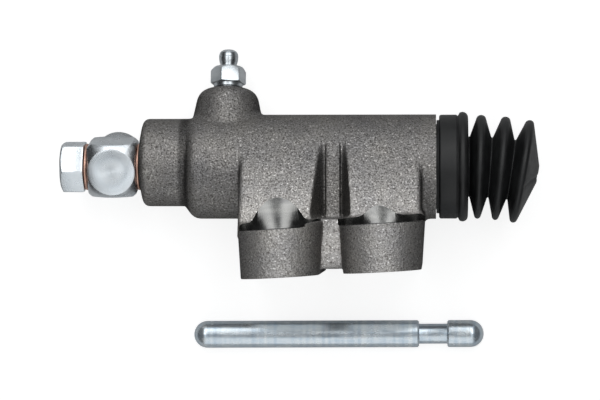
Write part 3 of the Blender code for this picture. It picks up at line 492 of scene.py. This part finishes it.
def joinCast(a, b, size):
    # The smaller of two distances with a fillet of size, which fades where both surfaces run alike.
    first, second = np.gradient(a), np.gradient(b)
    alike = sum(p * q for p, q in zip(first, second))
    alike /= np.sqrt(sum(p * p for p in first) * sum(q * q for q in second)) + 1e-9
    size = size * np.clip(1.05 - alike, 0.05, 1.3)
    share = np.clip(0.5 + 0.5 * (b - a) / size, 0, 1)
    return b + (a - b) * share - size * share * (1 - share)


def castingDistance(x, y, z):
    # Distance from the unmachined casting's surface, below zero in the metal: round bars, tapered
    # bosses and sloping pads, each pair joined by its own fillet. 0.6 and 0.98 are the cosines that
    # make a cone's excess of radius a distance.
    c = casting
    slope = math.tan(mountTilt)
    fromBore = np.hypot(y, z)
    shoulder = (fromBore - c["shoulderRadius"] - c["shoulderSlope"] * (x - c["shoulderX"])) * 0.6
    barrel = softMax(fromBore - c["barrelRadius"], shoulder, rounds["shoulder"])
    barrel = np.maximum(barrel, x - c["barrelEnd"])
    fromInlet = np.hypot(y - c["inletRise"], z)
    dome = c["inletFace"] - x + c["inletSlope"] * np.maximum(fromInlet - c["inletFlat"], 0)
    inlet = softMax(fromInlet - c["inletRadius"], dome, rounds["inlet"])
    inlet = np.maximum(inlet, x - c["inletEnd"])
    height = y * math.cos(lean) - z * math.sin(lean)
    fromBleed = np.hypot(x - c["bleedX"], y * math.sin(lean) + z * math.cos(lean))
    boss = (fromBleed - c["bossRadius"] - c["bossTaper"] * (c["bossLevel"] - height)) * 0.98
    boss = np.maximum(softMax(boss, height - c["bleedTop"], rounds["boss"]), c["bossFoot"] - height)
    metal = joinCast(barrel, inlet, fillets["inlet"])
    metal = joinCast(metal, boss, fillets["boss"])

    # The rib is flush with the barrel above the bore's axis and goes straight down below it.
    fromRib = np.abs(x - c["ribX"])
    seatLevel = c["lugHeight"] - c["mountDrop"]
    front = np.where(y > 0, fromBore, z) - c["barrelRadius"]
    rib = fromRib - c["ribHalf"] - c["ribDraft"] * (c["barrelRadius"] - z)
    rib = softMax(rib, front, rounds["rib"])
    rib = np.maximum(np.maximum(rib, y - c["slotTop"]), seatLevel - 3 - y)

    # Each pad slopes out from the barrel to its lug, which is round about its bolt in front.
    lugs = []
    pads = []
    for side, edge, angle, twist, shift in zip((-1, 1), c["padEdges"], c["padSlopes"], c["padTwist"],
                                               (0, c["rightLugShift"])):
        middle = side * c["boltPitch"] / 2
        foot = seatLevel + slope * middle
        tilt = math.radians(angle)
        front = y * math.sin(tilt) + z * math.cos(tilt) - c["barrelRadius"] - c["padProud"]
        top = c["barrelRadius"] * math.sin(tilt)
        front = front + twist * (x - middle) * np.clip((top - y) / c["twistFade"], 0, 1)
        pad = softMax(front, -side * (x - c["ribX"]), rounds["padInner"])
        pad = softMax(pad, side * x - edge, rounds["padOuter"])
        reach = np.minimum(np.maximum(-z, y - top), y - c["backTop"])
        pads.append(np.maximum(np.maximum(pad, reach), foot - 6 - y))
        above = (y + c["mountDrop"] - slope * x) * math.cos(mountTilt)
        wide = c["lugBottomRadius"] + (c["lugTopRadius"] - c["lugBottomRadius"]) * above / c["lugHeight"]
        lug = np.hypot(x - middle + shift, np.maximum(z - c["boltOffset"], 0)) - wide
        lug = softMax(lug, above - c["lugHeight"], rounds["lugTop"])
        lugs.append(softMax(lug, -above - 0.5, rounds["lugFoot"]))
    metal = joinCast(metal, np.minimum(*pads), fillets["pads"])

    # The slots beside the rib start as points at the top, widen downwards and slope in to the rib.
    down = np.clip(c["slotTop"] - y, 0, c["slotLength"])
    isLeft = x < c["ribX"]
    widest = np.where(isLeft, *c["slotSpread"])
    wide = c["slotStart"] + widest * (down / c["slotLength"]) ** 0.8
    across = np.clip((fromRib - c["ribHalf"]) / wide, 0, 1)
    tilt = np.radians(np.where(isLeft, *c["padSlopes"]))
    onBarrel = np.sqrt(np.maximum(c["barrelRadius"] ** 2 - y * y, 0))
    onPad = (c["barrelRadius"] - y * np.sin(tilt)) / np.cos(tilt)
    front = np.where(y > c["barrelRadius"] * np.sin(tilt), onBarrel, onPad)
    floor = c["slotFloor"] + (front - c["slotFloor"]) * across ** 1.5
    floor = floor + (front - floor) * np.clip(1 - down / c["slotFade"], 0, 1)
    slot = np.maximum((floor - z) * 0.5, fromRib - c["ribHalf"] - wide)
    slot = np.maximum(slot, np.maximum(y - c["slotTop"], c["slotFoot"] - y))
    metal = np.minimum(softMax(metal, -slot, rounds["slot"]), rib)

    web = softMax(fromRib - c["webHalf"], z - c["webFront"], rounds["webFront"])
    web = softMax(web, c["webRise"] - c["mountDrop"] - y, rounds["webFoot"])
    web = softMax(web, y - seatLevel, rounds["webTop"])
    lower = joinCast(np.minimum(*lugs), web, fillets["web"])
    metal = joinCast(metal, lower, fillets["lugs"])
    return softMax(metal, c["back"] - z, rounds["back"])


def netSurface(values, low, size):
    # Surface net: one point in each grid cell that the surface crosses, at the mean of its edges'
    # crossings, and one quad across each crossed edge.
    cells = np.array(values.shape) - 1
    total = np.zeros((*cells, 3), np.float32)
    count = np.zeros(cells, np.int32)
    crossed = []
    for axis in range(3):
        near, far = np.delete(values, -1, axis), np.delete(values, 0, axis)
        hit = (near < 0) != (far < 0)
        where = np.argwhere(hit)
        crossed.append((where, near[hit] < 0))
        share = near[hit] / (near[hit] - far[hit])
        place = where.astype(np.float32)
        place[:, axis] += share
        others = [i for i in range(3) if i != axis]
        for step in ((0, 0), (0, -1), (-1, 0), (-1, -1)):
            cell = where.copy()
            cell[:, others] += step
            kept = ((cell >= 0) & (cell < cells)).all(1)
            np.add.at(count, tuple(cell[kept].T), 1)
            np.add.at(total, tuple(cell[kept].T), place[kept])
    live = count > 0
    index = np.full(cells, -1, np.int64)
    index[live] = np.arange(live.sum())
    points = total[live] / count[live][:, None] * size + low
    faces = []
    for axis, (where, within) in enumerate(crossed):
        others = [(axis + 1) % 3, (axis + 2) % 3]
        ring = []
        for step in ((-1, -1), (0, -1), (0, 0), (-1, 0)):
            cell = where.copy()
            cell[:, others] += step
            ring.append(index[tuple(cell.T)])
        quads = np.stack(ring, 1)
        quads[~within] = quads[~within][:, ::-1]
        faces.append(quads)
    return points, np.concatenate(faces)


def machinedBlock(name, points, faces, coats):
    # A block whose faces leave the milled finish.
    return putMesh(name, points, faces, coats, np.full(len(faces), 2, np.int32))


def turnedCutter(name, profile, frameAxes, centre, steps, coats):
    # A turned shape whose faces leave the bored finish.
    made = turnedShape(name, profile, frameAxes, centre, steps, coats)
    made.data.polygons.foreach_set("material_index", np.ones(len(made.data.polygons), np.int32))
    return made


def castingCutters(coats):
    # What machining takes away. Each tool is a profile of (height, radius) turned round its axis, and
    # a block cuts the mounting face. Plain numbers are chamfers, and reaches past the metal.
    c = casting
    slope = math.tan(mountTilt)
    cutters = []
    seat, wall, hole = c["seatHeight"], c["seatRadius"], c["boltHole"]
    bolt = [(-3, 0), (-3, hole + 0.6), (0, hole + 0.6), (0.6, hole), (seat - 0.5, hole),
            (seat, hole + 0.5), (seat, wall - 0.5), (seat + 0.15, wall - 0.15), (seat + 0.5, wall),
            (seat + 34, wall), (seat + 34, 0)]
    for side in (-1, 1):
        x = side * c["boltPitch"] / 2
        centre = (x, slope * x - c["mountDrop"], c["boltOffset"])
        cutters.append(turnedCutter("boltCutter", bolt, boltAxes, centre, 128, coats))
    ends = np.array([-60.0, 60.0])
    face = slope * ends - c["mountDrop"]
    corners = [(x, y, z) for z in (-40, 80) for x, y in
               ((ends[0], -60), (ends[1], -60), (ends[1], face[1]), (ends[0], face[0]))]
    sides = [(3, 2, 1, 0), (4, 5, 6, 7), (0, 1, 5, 4), (1, 2, 6, 5), (2, 3, 7, 6), (3, 0, 4, 7)]
    cutters.append(machinedBlock("mountCutter", corners, sides, coats))
    start, end, spigot, groove = c["spigotX"], c["spigotEnd"], c["spigotRadius"], c["spigotGroove"]
    outside = [(start, 30), (start, spigot), (end - 4.8, spigot), (end - 4.8, groove), (end - 2.2, groove),
               (end - 2.2, spigot), (end - 0.6, spigot), (end, spigot - 0.6), (end, 0), (52, 0), (52, 30),
               (start, 30)]
    cutters.append(turnedCutter("spigotCutter", outside, alongBore, (0, 0, 0), 128, coats))
    bore, ring, port, mouth = c["boreRadius"], c["ringRadius"], c["portRadius"], c["portMouth"]
    bottom, face = c["boreBottom"], c["inletFace"]
    inside = [(end + 3, 0), (end + 3, bore + 0.6), (end, bore + 0.6), (end - 0.6, bore), (42.0, bore),
              (42.0, ring), (40.0, ring), (40.0, bore), (bottom, bore), (bottom - 1.5, 2), (-56, 2),
              (-57.6, port), (face + 0.6, port), (face, mouth), (face - 3, mouth), (face - 3, 0)]
    cutters.append(turnedCutter("boreCutter", inside, alongBore, (0, 0, 0), 96, coats))
    top, hole, duct = c["bleedTop"], c["bleedHole"], c["bleedDuct"]
    bleed = [(top + 3, 0), (top + 3, hole + 0.6), (top, hole + 0.6), (top - 0.6, hole), (16.5, hole),
             (13, duct), (9.5, duct), (9.5, 0)]
    cutters.append(turnedCutter("bleedCutter", bleed, alongBleed, (c["bleedX"], 0, 0), 64, coats))
    return cutters


def buildCasting(coats):
    # The surface where the distance is zero, found on a grid, and then machined.
    c = casting
    lines = [np.arange(low, high, c["step"], dtype=np.float32) for low, high in zip(c["low"], c["high"])]
    x, y, z = np.broadcast_arrays(*np.meshgrid(*lines, indexing="ij", sparse=True))
    points, faces = netSurface(castingDistance(x, y, z).astype(np.float32), c["low"], c["step"])
    made = putMesh("casting", points, faces, coats)
    print("scene: casting has", len(faces), "faces before machining")
    return cutBy(made, castingCutters(coats), 35, "MANIFOLD")


print("scene: casting")
leftBolt = (-casting["boltPitch"] / 2, 0, casting["boltOffset"])
castingPiece = buildCasting([
    castIron(),
    turnedMetal("machinedIron", leftBolt, boltAxes[2], cutIronLook),
    turnedMetal("milledIron", (casting["millX"], 0, 0), boltAxes[2], milledLook),
])
finishPiece(castingPiece, "housing", "cylinder_body")


# The pipe union, its hollow bolt and copper washers

union = {
    "centre": (-81.8, 0, 0), "halfLength": 8.9, "halfHeight": 9.9, "halfDepth": 8.0, "corner": 0.35,
    "bar": 12.35, "faceRadius": 8.65, "slope": 0.7, "neckRadius": 8.9, "neckReach": 18.3, "port": 4.6,
    "eye": 6.3, "duct": 1.6,
}
unionBolt = {
    "head": -92.1, "length": 8.6, "acrossFlats": 17.0, "turn": math.radians(18.3), "corner": 0.4,
    "slope": 0.55, "shank": 6.0, "reach": 34.0, "duct": 2.5, "crossHole": 1.6,
}
washers = {"inner": -72.7, "outer": -91.9, "thickness": 1.0, "radius": 8.5, "hole": 6.3}


def buildUnion(coat):
    # A milled block with turned faces and a turned neck. Its rows run from the middle of the front
    # face over the block to the blind end of the port in its neck.
    u = union
    normals = np.radians([0.0, 90.0, 180.0, 270.0])
    outline = polygonOutline([u["halfLength"], u["halfHeight"]] * 2, normals, u["corner"], 30, 6)
    # The block is milled from a round bar, which leaves its corners round.
    outline = outline * np.minimum(1, u["bar"] / np.linalg.norm(outline, axis=1, keepdims=True))
    top, face, slope, neck, port = u["halfDepth"], u["faceRadius"], u["slope"], u["neckRadius"], u["port"]
    end, eye, duct = -u["neckReach"], u["eye"], u["duct"]
    rows = [(top, 0), (top, face * 0.5), (top, face - 0.12), (top - 0.06, face),
            (top - 0.02, 0.25, slope, face + 0.25), (top - 0.1, 0.05, slope, face),
            (top - 0.3, 0, slope, face), (-top + 0.3, 0, -slope, face), (-top + 0.1, 0.05, -slope, face),
            (-top + 0.02, 0.25, -slope, face + 0.25), (-top + 0.15, neck + 0.15), (-top - 0.1, neck),
            (end + 0.6, neck), (end + 0.18, neck - 0.18), (end, neck - 0.6), (end, port + 0.6),
            (end + 0.6, port), (end + 6.2, port), (end + 9, 1.6), (end + 9.05, 0)]
    made = facetedShape("unionBlock", outline, rows, alongUnion, u["centre"], [coat])
    eyeLine = [(-12, 0), (-12, eye + 0.7), (-8.9, eye + 0.7), (-8.4, eye), (8.4, eye), (8.9, eye + 0.7),
               (12, eye + 0.7), (12, 0)]
    ductLine = [(-10.5, 0), (-10.5, duct), (0, duct), (0, 0)]
    return cutBy(made, [
        turnedShape("unionEye", eyeLine, alongBore, u["centre"], 64, [coat]),
        turnedShape("unionDuct", ductLine, alongUnion, u["centre"], 32, [coat]),
    ])


def buildUnionBolt(coat):
    # A chamfered hexagon and a hollow shank with a hole across it. Its rows run from the middle of
    # the head to the end of the hollow.
    b = unionBolt
    half, slope, shank, duct, hole = b["acrossFlats"] / 2, b["slope"], b["shank"], b["duct"], b["crossHole"]
    outline = polygonOutline([half] * 6, b["turn"] + sixWays, b["corner"], 14, 5)
    top, tip, ring = b["length"], -b["reach"], half - 0.35
    rows = [(top, 0), (top, ring * 0.5), (top, ring - 0.1), (top - 0.05, ring),
            (top - 0.02, 0.25, slope, ring + 0.25), (top - 0.12, 0.05, slope, ring),
            (top - 0.3, 0, slope, ring), (0.55, 0, 0, 0), (0.12, 0.12, 0, 0), (0, 0.5, 0, 0),
            (0, shank + 0.3), (-0.3, shank), (tip + 0.8, shank), (tip, shank - 0.8), (tip, duct + 0.3),
            (tip + 0.3, duct), (tip + 22.5, duct), (tip + 24.2, 0)]
    axes = ((0, 0, 1), (0, 1, 0), (-1, 0, 0))
    made = facetedShape("unionBolt", outline, rows, axes, (b["head"], 0, 0), [coat])
    cross = [(-7, 0), (-7, hole), (7, hole), (7, 0)]
    crossAxes = ((1, 0, 0), (0, 0, 1), (0, 1, 0))
    return cutBy(made, [turnedShape("boltCross", cross, crossAxes, (union["centre"][0], 0, 0), 32, [coat])])


def buildWasher(name, x, coat):
    # A flat ring with its outer edges rounded, turned round the bore's axis.
    w = washers
    thick, outer, hole = w["thickness"], w["radius"], w["hole"]
    line = roundedLine([(thick / 2, hole, 0), (thick, hole, 0.15), (thick, outer, 0.42), (0, outer, 0.42),
                        (0, hole, 0.15), (thick / 2, hole, 0)])
    return turnedShape(name, line, alongBore, (x, 0, 0), 96, [coat], 50)


print("scene: union")
zincUnion = turnedMetal("zincUnion", union["centre"], alongUnion[2], zincLook)
zincBore = turnedMetal("zincBore", (0, 0, 0), (1, 0, 0), zincLook)
zincBleed = turnedMetal("zincBleed", (casting["bleedX"], 0, 0), alongBleed[2], bleedLook)
copperCoat = turnedMetal("annealedCopper", (0, 0, 0), (1, 0, 0), copperLook)
finishPiece(buildUnion(zincUnion), "housing", "union_block")
finishPiece(buildUnionBolt(zincBore), "housing", "union_bolt")
for washerName in ("inner", "outer"):
    ringPiece = buildWasher(washerName + "CopperWasher", washers[washerName], copperCoat)
    finishPiece(ringPiece, "housing", washerName + "_copper_washer")


# The bleed screw

bleeder = {
    "hexLow": 31.0, "hexHeight": 6.3, "acrossFlats": 11.4, "turn": math.radians(12.0), "corner": 0.3,
    "slope": 1.15, "underSlope": -0.25, "neck": 3.03, "nipple": 3.55, "nippleTop": 44.0, "thread": 4.7,
    "seat": 14.0, "hole": 1.1,
}


def buildBleedScrew(coat):
    # Its rows run from inside the hole over the nipple's bead and the hexagon down to the seat.
    b = bleeder
    low, high, half = b["hexLow"], b["hexLow"] + b["hexHeight"], b["acrossFlats"] / 2
    # Flats are measured from the front towards the boot, so from this frame's second side.
    flats = (math.pi / 2 - b["turn"] + sixWays) % math.tau
    outline = polygonOutline([half] * 6, flats, b["corner"], 12, 5)
    neck, wide, top, ring = b["neck"], b["nipple"], b["nippleTop"], half - 0.3
    slope, under, thread, seat, hole = b["slope"], b["underSlope"], b["thread"], b["seat"], b["hole"]
    rows = [(top - 6, 0), (top - 6, hole), (top - 0.2, hole), (top, hole + 0.2), (top, 1.6),
            (top - 0.2, 2.3), (top - 0.5, 2.8), (top - 0.9, 3.15), (top - 1.4, 3.4), (top - 1.6, 3.32),
            (top - 1.8, wide - 0.05), (top - 2.7, wide), (top - 2.85, wide - 0.12), (top - 3.0, wide - 0.02),
            (top - 3.8, wide - 0.1), (top - 4.7, 3.25), (top - 5.3, neck), (high + 0.25, neck),
            (high, neck + 0.3), (high, ring - 0.1), (high - 0.05, ring),
            (high - 0.02, 0.2, slope, ring + 0.2), (high - 0.2, 0, slope, ring),
            (low + 0.2, 0, under, ring), (low + 0.05, 0.2, under, ring + 0.2),
            (low, ring - 0.05), (low - 0.1, ring - 0.1), (low - 1.2, ring - 0.1), (low - 1.5, ring - 0.4),
            (low - 1.5, thread + 0.1), (low - 1.8, thread), (seat + 3.2, thread), (seat, 1.4), (seat, 0)]
    return facetedShape("bleedScrew", outline, rows, alongBleed, (casting["bleedX"], 0, 0), [coat])


print("scene: bleed screw")
finishPiece(buildBleedScrew(zincBleed), "bleeder", "bleed_screw")


# The rubber boot

boot = {
    "lip": 36.35, "lipRadius": 17.0, "mouth": 37.3, "collarRadius": 18.9, "collarLength": 6.3,
    "seatRadius": 15.8, "lockRadius": 14.8,
    "beadX": 45.8, "beadPeak": 19.95, "beadRound": 1.95,
    "foldPeak": 18.9, "foldRound": 1.5, "valley": 10.95, "valleyRound": 0.35, "firstValley": 48.1,
    "firstFold": 51.9, "pitch": 7.7, "folds": 3, "tip": 73.3, "tipHole": 2.4, "wall": 1.3,
    "bendStart": 47.5, "bendLength": 19.8, "bend": math.radians(10.1),
    "pinchStart": (68.0, -7.2), "pinchWay": (5.6, 3.9), "pinchDepth": 0.6, "pinchWidth": 0.5,
    "pinchPress": (0.9, 0, 0.44), "fineFrom": 64.0, "fineStep": 0.4, "steps": 144,
}


def circleWalk(circles, start, end, inset, count):
    # Round each circle (height, radius, round) from one common tangent to the next. A hollow
    # circle has its round below zero.
    rows = np.array(circles, float)
    step = rows[1:, :2] - rows[:-1, :2]
    apart = np.hypot(step[:, 0], step[:, 1])
    touch = np.arctan2(step[:, 0], step[:, 1]) - np.arccos((rows[:-1, 2] - rows[1:, 2]) / apart)
    angles = np.concatenate([[start], touch, [end]])
    share = np.linspace(0, 1, count + 1)[None, :]
    turn = angles[:-1, None] * (1 - share) + angles[1:, None] * share
    size = rows[:, 2:3] - inset
    height = rows[:, :1] + size * np.sin(turn)
    radius = rows[:, 1:2] + size * np.cos(turn)
    return np.stack([height.ravel(), radius.ravel()], 1), touch[-1]


def bootProfile():
    # The section's closed line: the collar, the outside of bead and folds, the rim of the hole, the
    # same folds back inside at the wall's thickness, and the lip that holds the spigot's groove.
    b = boot
    circles = [(b["beadX"], b["beadPeak"] - b["beadRound"], b["beadRound"])]
    for i in range(b["folds"]):
        valleyX = b["firstValley"] if i == 0 else b["firstFold"] + b["pitch"] * (i - 0.5)
        circles.append((valleyX, b["valley"] + b["valleyRound"], -b["valleyRound"]))
        circles.append((b["firstFold"] + b["pitch"] * i, b["foldPeak"] - b["foldRound"], b["foldRound"]))
    rim = b["wall"] / 2
    tip = (b["tip"] - rim, b["tipHole"] + rim, rim)
    cone = circleWalk([circles[-1], tip], 0, 0, 0, 1)[1]
    outer = circleWalk(circles, -0.6, cone, 0, 8)[0]
    turn = np.linspace(cone, cone + math.pi, 9)
    around = np.stack([tip[0] + rim * np.sin(turn), tip[1] + rim * np.cos(turn)], 1)
    inner = circleWalk(circles[1:], math.pi / 2, cone, b["wall"], 6)[0][::-1]
    inside = b["firstValley"] - b["valleyRound"] - b["wall"]
    seat, lock, lip, wide = b["seatRadius"], b["lockRadius"], b["lipRadius"], b["collarRadius"]
    front, back, end = b["mouth"], b["mouth"] + b["collarLength"], casting["spigotEnd"]
    collar = roundedLine([(b["lip"], seat, 0), (b["lip"], lip, 0.3), (front, lip, 0.2), (front, wide, 0.8),
                          (back, wide + 0.02, 0.35), (back + 0.35, wide - 0.55, 0.3),
                          (b["beadX"] - 0.95, b["beadPeak"] - 0.45, 0)])
    held = np.array([(inside, seat), (end - 2.5, seat), (end - 2.5, lock), (end - 4.5, lock),
                     (end - 4.5, seat)])
    return np.concatenate([collar[:-1], outer, around, inner, held])


def bendDown(points):
    # The axis is straight, then an arc, then straight on, and carries the boot down with it.
    b = boot
    x, y, z = points.T
    past = np.maximum(x - b["bendStart"], 0)
    size = b["bendLength"] / b["bend"]
    turn = np.minimum(past / b["bendLength"], 1) * b["bend"]
    beyond = np.maximum(past - b["bendLength"], 0)
    along = b["bendStart"] + size * np.sin(turn) + beyond * np.cos(turn) + y * np.sin(turn)
    down = -size * (1 - np.cos(turn)) - beyond * np.sin(turn) + y * np.cos(turn)
    return np.stack([np.where(past > 0, along, x), np.where(past > 0, down, y), z], 1)


def buildBoot(coat):
    b = boot
    profile = bootProfile()
    profile = np.vstack([profile, profile[:1]])
    # The end cone gets more rows, close enough for its pinch.
    gaps = np.linalg.norm(np.diff(profile, axis=0), axis=1)
    counts = np.where(profile[:-1, 0] > b["fineFrom"], np.ceil(gaps / b["fineStep"]), 1).astype(int)
    rows = [near + (far - near) * np.arange(count)[:, None] / count
            for near, far, count in zip(profile, profile[1:], counts)]
    profile = np.concatenate(rows + [profile[-1:]])
    turn = np.linspace(0, math.tau, b["steps"], endpoint=False)[None, :]
    radius, height = profile[:, 1:2], profile[:, :1]
    points = np.stack([height + 0 * turn, radius * np.cos(turn), radius * np.sin(turn)], 2).reshape(-1, 3)
    points = bendDown(points)
    # The end has a short pinch on its front, pressed in by a bell curve of the distance from a line.
    start, way = np.array(b["pinchStart"]), np.array(b["pinchWay"])
    share = np.clip((points[:, :2] - start) @ way / (way @ way), 0, 1)
    aside = np.linalg.norm(points[:, :2] - start - share[:, None] * way, axis=1)
    pressed = b["pinchDepth"] * np.exp(-(aside / b["pinchWidth"]) ** 2)
    points -= np.where(points[:, 2] > 0, pressed, 0)[:, None] * np.array(b["pinchPress"])
    return closeMesh(putMesh("bellowsBoot", points, gridFaces(len(profile), b["steps"]), [coat]), 50)


print("scene: boot")
rubberCoat = blackRubber()
finishPiece(buildBoot(rubberCoat), "housing", "dust_boot")


# The push rod

rod = {
    "left": -53.5, "drop": 62.1, "radius": 5.0, "length": 107.3, "grooveStart": 83.4, "grooveWidth": 10.5,
    "grooveRadius": 3.7, "turn": math.radians(0.33), "floor": -20.0,
}
rodAxis = (math.cos(rod["turn"]), math.sin(rod["turn"]), 0)
rodCentre = (rod["left"], -rod["drop"], rod["floor"] + rod["radius"])


def buildRod(coat):
    # A quarter circle at each end and a groove between them, turned round the rod's axis.
    r = rod
    size, end, groove = r["radius"], r["length"], r["grooveRadius"]
    start, stop = r["grooveStart"], r["grooveStart"] + r["grooveWidth"]
    turn = np.linspace(0, math.pi / 2, 20)
    nose = np.stack([size - size * np.cos(turn), size * np.sin(turn)], 1)
    middle = roundedLine([(size + 0.5, size, 0), (start - 0.5, size, 0.15), (start, size - 0.5, 0.1),
                          (start, groove, 0.25), (stop, groove, 0.25), (stop, size - 0.5, 0.1),
                          (stop + 0.5, size, 0.15), (end - size - 0.5, size, 0)])
    tail = np.stack([end - nose[::-1, 0], nose[::-1, 1]], 1)
    axes = ((0, 0, 1), (-rodAxis[1], rodAxis[0], 0), rodAxis)
    return turnedShape("pushRod", np.concatenate([nose, middle, tail]), axes, rodCentre, 128, [coat])


print("scene: push rod")
zincRod = turnedMetal("zincRod", rodCentre, rodAxis, rodLook)
finishPiece(buildRod(zincRod), "housing", "push_rod")


# The return spring, built at one length; the real one shortens as the piston goes in

spring = {
    "low": -44.05, "high": 6.15, "wire": 0.65, "large": 9.4, "small": 6.3, "turns": 8.0, "crowding": 0.75,
    "seat": -44.7, "sides": 12,
}


def buildSpring(coat):
    # A round wire along a cone helix whose end turns lie closer together.
    s = spring
    share = np.linspace(0, 1, 400)
    rise = share - s["crowding"] * np.sin(math.tau * share) / math.tau
    radius = s["large"] + (s["small"] - s["large"]) * share
    turn = math.tau * s["turns"] * share
    outward = np.stack([0 * turn, np.cos(turn), np.sin(turn)], 1)
    centres = np.stack([s["low"] + (s["high"] - s["low"]) * rise, 0 * turn, 0 * turn], 1)
    path = centres + radius[:, None] * outward
    ahead = np.gradient(path, axis=0)
    ahead /= np.linalg.norm(ahead, axis=1, keepdims=True)
    across = np.cross(ahead, outward)
    around = np.linspace(0, math.tau, s["sides"], endpoint=False)[None, :, None]
    tube = path[:, None] + s["wire"] * (np.cos(around) * outward[:, None] + np.sin(around) * across[:, None])
    ends = np.repeat(path[[0, -1], None], s["sides"], 1)
    tube = np.concatenate([ends[:1], tube, ends[1:]])
    made = putMesh("returnSpring", tube.reshape(-1, 3), gridFaces(len(tube), s["sides"]), [coat])
    return closeMesh(made, 60)


print("scene: spring and inner pieces")
wireCoat = turnedMetal("springWire", (0, 0, 0), (1, 0, 0), wireLook)
springPiece = finishPiece(buildSpring(wireCoat), "housing", "return_spring")
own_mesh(springPiece)

alloyCoat = turnedMetal("pistonAlloy", (0, 0, 0), (1, 0, 0), alloyLook)
innerCoats = {
    "piston": alloyCoat, "primary_cup": rubberCoat, "secondary_cup": rubberCoat, "spring_seat": zincBore,
    "snap_ring": wireCoat,
}
for nodeName, coat in innerCoats.items():
    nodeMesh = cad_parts[nodeName].data
    nodeMesh.materials.clear()
    nodeMesh.materials.append(coat)


# Table, light and camera

studio = {
    "stripPower": 2.15, "stripSize": (0.42, 1.15), "stripDistance": 1.2, "stripAim": (-13, -10, 0),
    "stripAngle": math.radians(20), "stripTilt": math.radians(24),
    "room": 0.9, "side": 0.03, "sideEdge": (0.2, 0.6), "tint": (0.97, 0.99, 1.0, 1),
    "shade": 0.16, "shadePlace": (0.02, 0.06, 0), "shadeScale": (6.5, 2.1, 0), "shadeEdge": (0.75, 1.2),
    "tableReach": (0.12, 0.32), "tableTone": (0.62, 0.06), "seenTone": 0.42, "seenGlow": 0.82,
}
view = {"target": (-13.4, -12.15, 0), "distance": 0.931, "pitch": 0.0, "yaw": math.radians(3), "lens": 153.0}


def turnTo(made, pitch, yaw):
    # A light or camera looks down on the table with y upwards until it is turned by pitch and yaw.
    # The way back from what it looks at is returned.
    made.rotation_euler = (pitch, yaw, 0)
    return made.rotation_euler.to_matrix() @ Vector((0, 0, 1))


def buildWorld():
    # A room that is dark to both sides and pale above and below, with a shade overhead.
    s = studio
    world = bpy.data.worlds.new("studio")
    bpy.context.scene.world = world
    world.use_nodes = True
    tree = world.node_tree
    place = addNode(tree, "TexCoord").outputs["Generated"]
    across = calculate(tree, "ABSOLUTE", addNode(tree, "SeparateXYZ", {"Vector": place}).outputs["X"])
    room = spread(tree, across, *s["sideEdge"], s["room"], s["side"], "SMOOTHSTEP")
    away = addNode(tree, "Mapping", {"Vector": place, "Location": s["shadePlace"], "Scale": s["shadeScale"]})
    shade = spread(tree, vectorStep(tree, "LENGTH", away.outputs[0]), *s["shadeEdge"], s["shade"], 1.0)
    both = calculate(tree, "MULTIPLY", room, shade)
    feed(tree, tree.nodes["Background"], {"Color": s["tint"], "Strength": both})


def buildFloor():
    # The table looks white to the camera alone, and throws back no more light than a grey one.
    s = studio
    mesh = bpy.data.meshes.new("floor")
    mesh.from_pydata([(-4, -4, 0), (4, -4, 0), (4, 4, 0), (-4, 4, 0)], [], [(0, 1, 2, 3)])
    putObject("floor", mesh)
    made, tree, shader, place = newMaterial("paleTable", {
        "Roughness": 0.9, "Specular IOR Level": 0.0, "Emission Color": (1, 1, 1, 1)})
    seen = addNode(tree, "LightPath").outputs["Is Camera Ray"]
    fade = spread(tree, vectorStep(tree, "LENGTH", place), *s["tableReach"], *s["tableTone"])
    tone = addNode(tree, "Mix", {"Factor": seen, "A": fade, "B": s["seenTone"]}).outputs[0]
    glow = calculate(tree, "MULTIPLY", seen, s["seenGlow"])
    feed(tree, shader, {"Base Color": tone, "Emission Strength": glow})
    mesh.materials.append(made)


def buildLights():
    s = studio
    for side in (-1, 1):
        light = bpy.data.lights.new("softbox", "AREA")
        light.shape, light.energy = "RECTANGLE", s["stripPower"]
        light.size, light.size_y = s["stripSize"]
        strip = putObject("softbox", light)
        back = turnTo(strip, -s["stripTilt"], side * s["stripAngle"])
        strip.location = Vector(toWorld(s["stripAim"])) + back * s["stripDistance"]
    bpy.context.scene.view_settings.view_transform = "Standard"


def buildCamera():
    data = bpy.data.cameras.new("camera")
    data.sensor_width, data.lens = 36.0, view["lens"]
    data.clip_start, data.clip_end = 0.01, 20
    camera = putObject("camera", data)
    back = turnTo(camera, view["pitch"], view["yaw"])
    camera.location = Vector(toWorld(view["target"])) + back * view["distance"]
    bpy.context.scene.camera = camera


print("scene: studio and camera")
buildWorld()
buildFloor()
buildLights()
buildCamera()
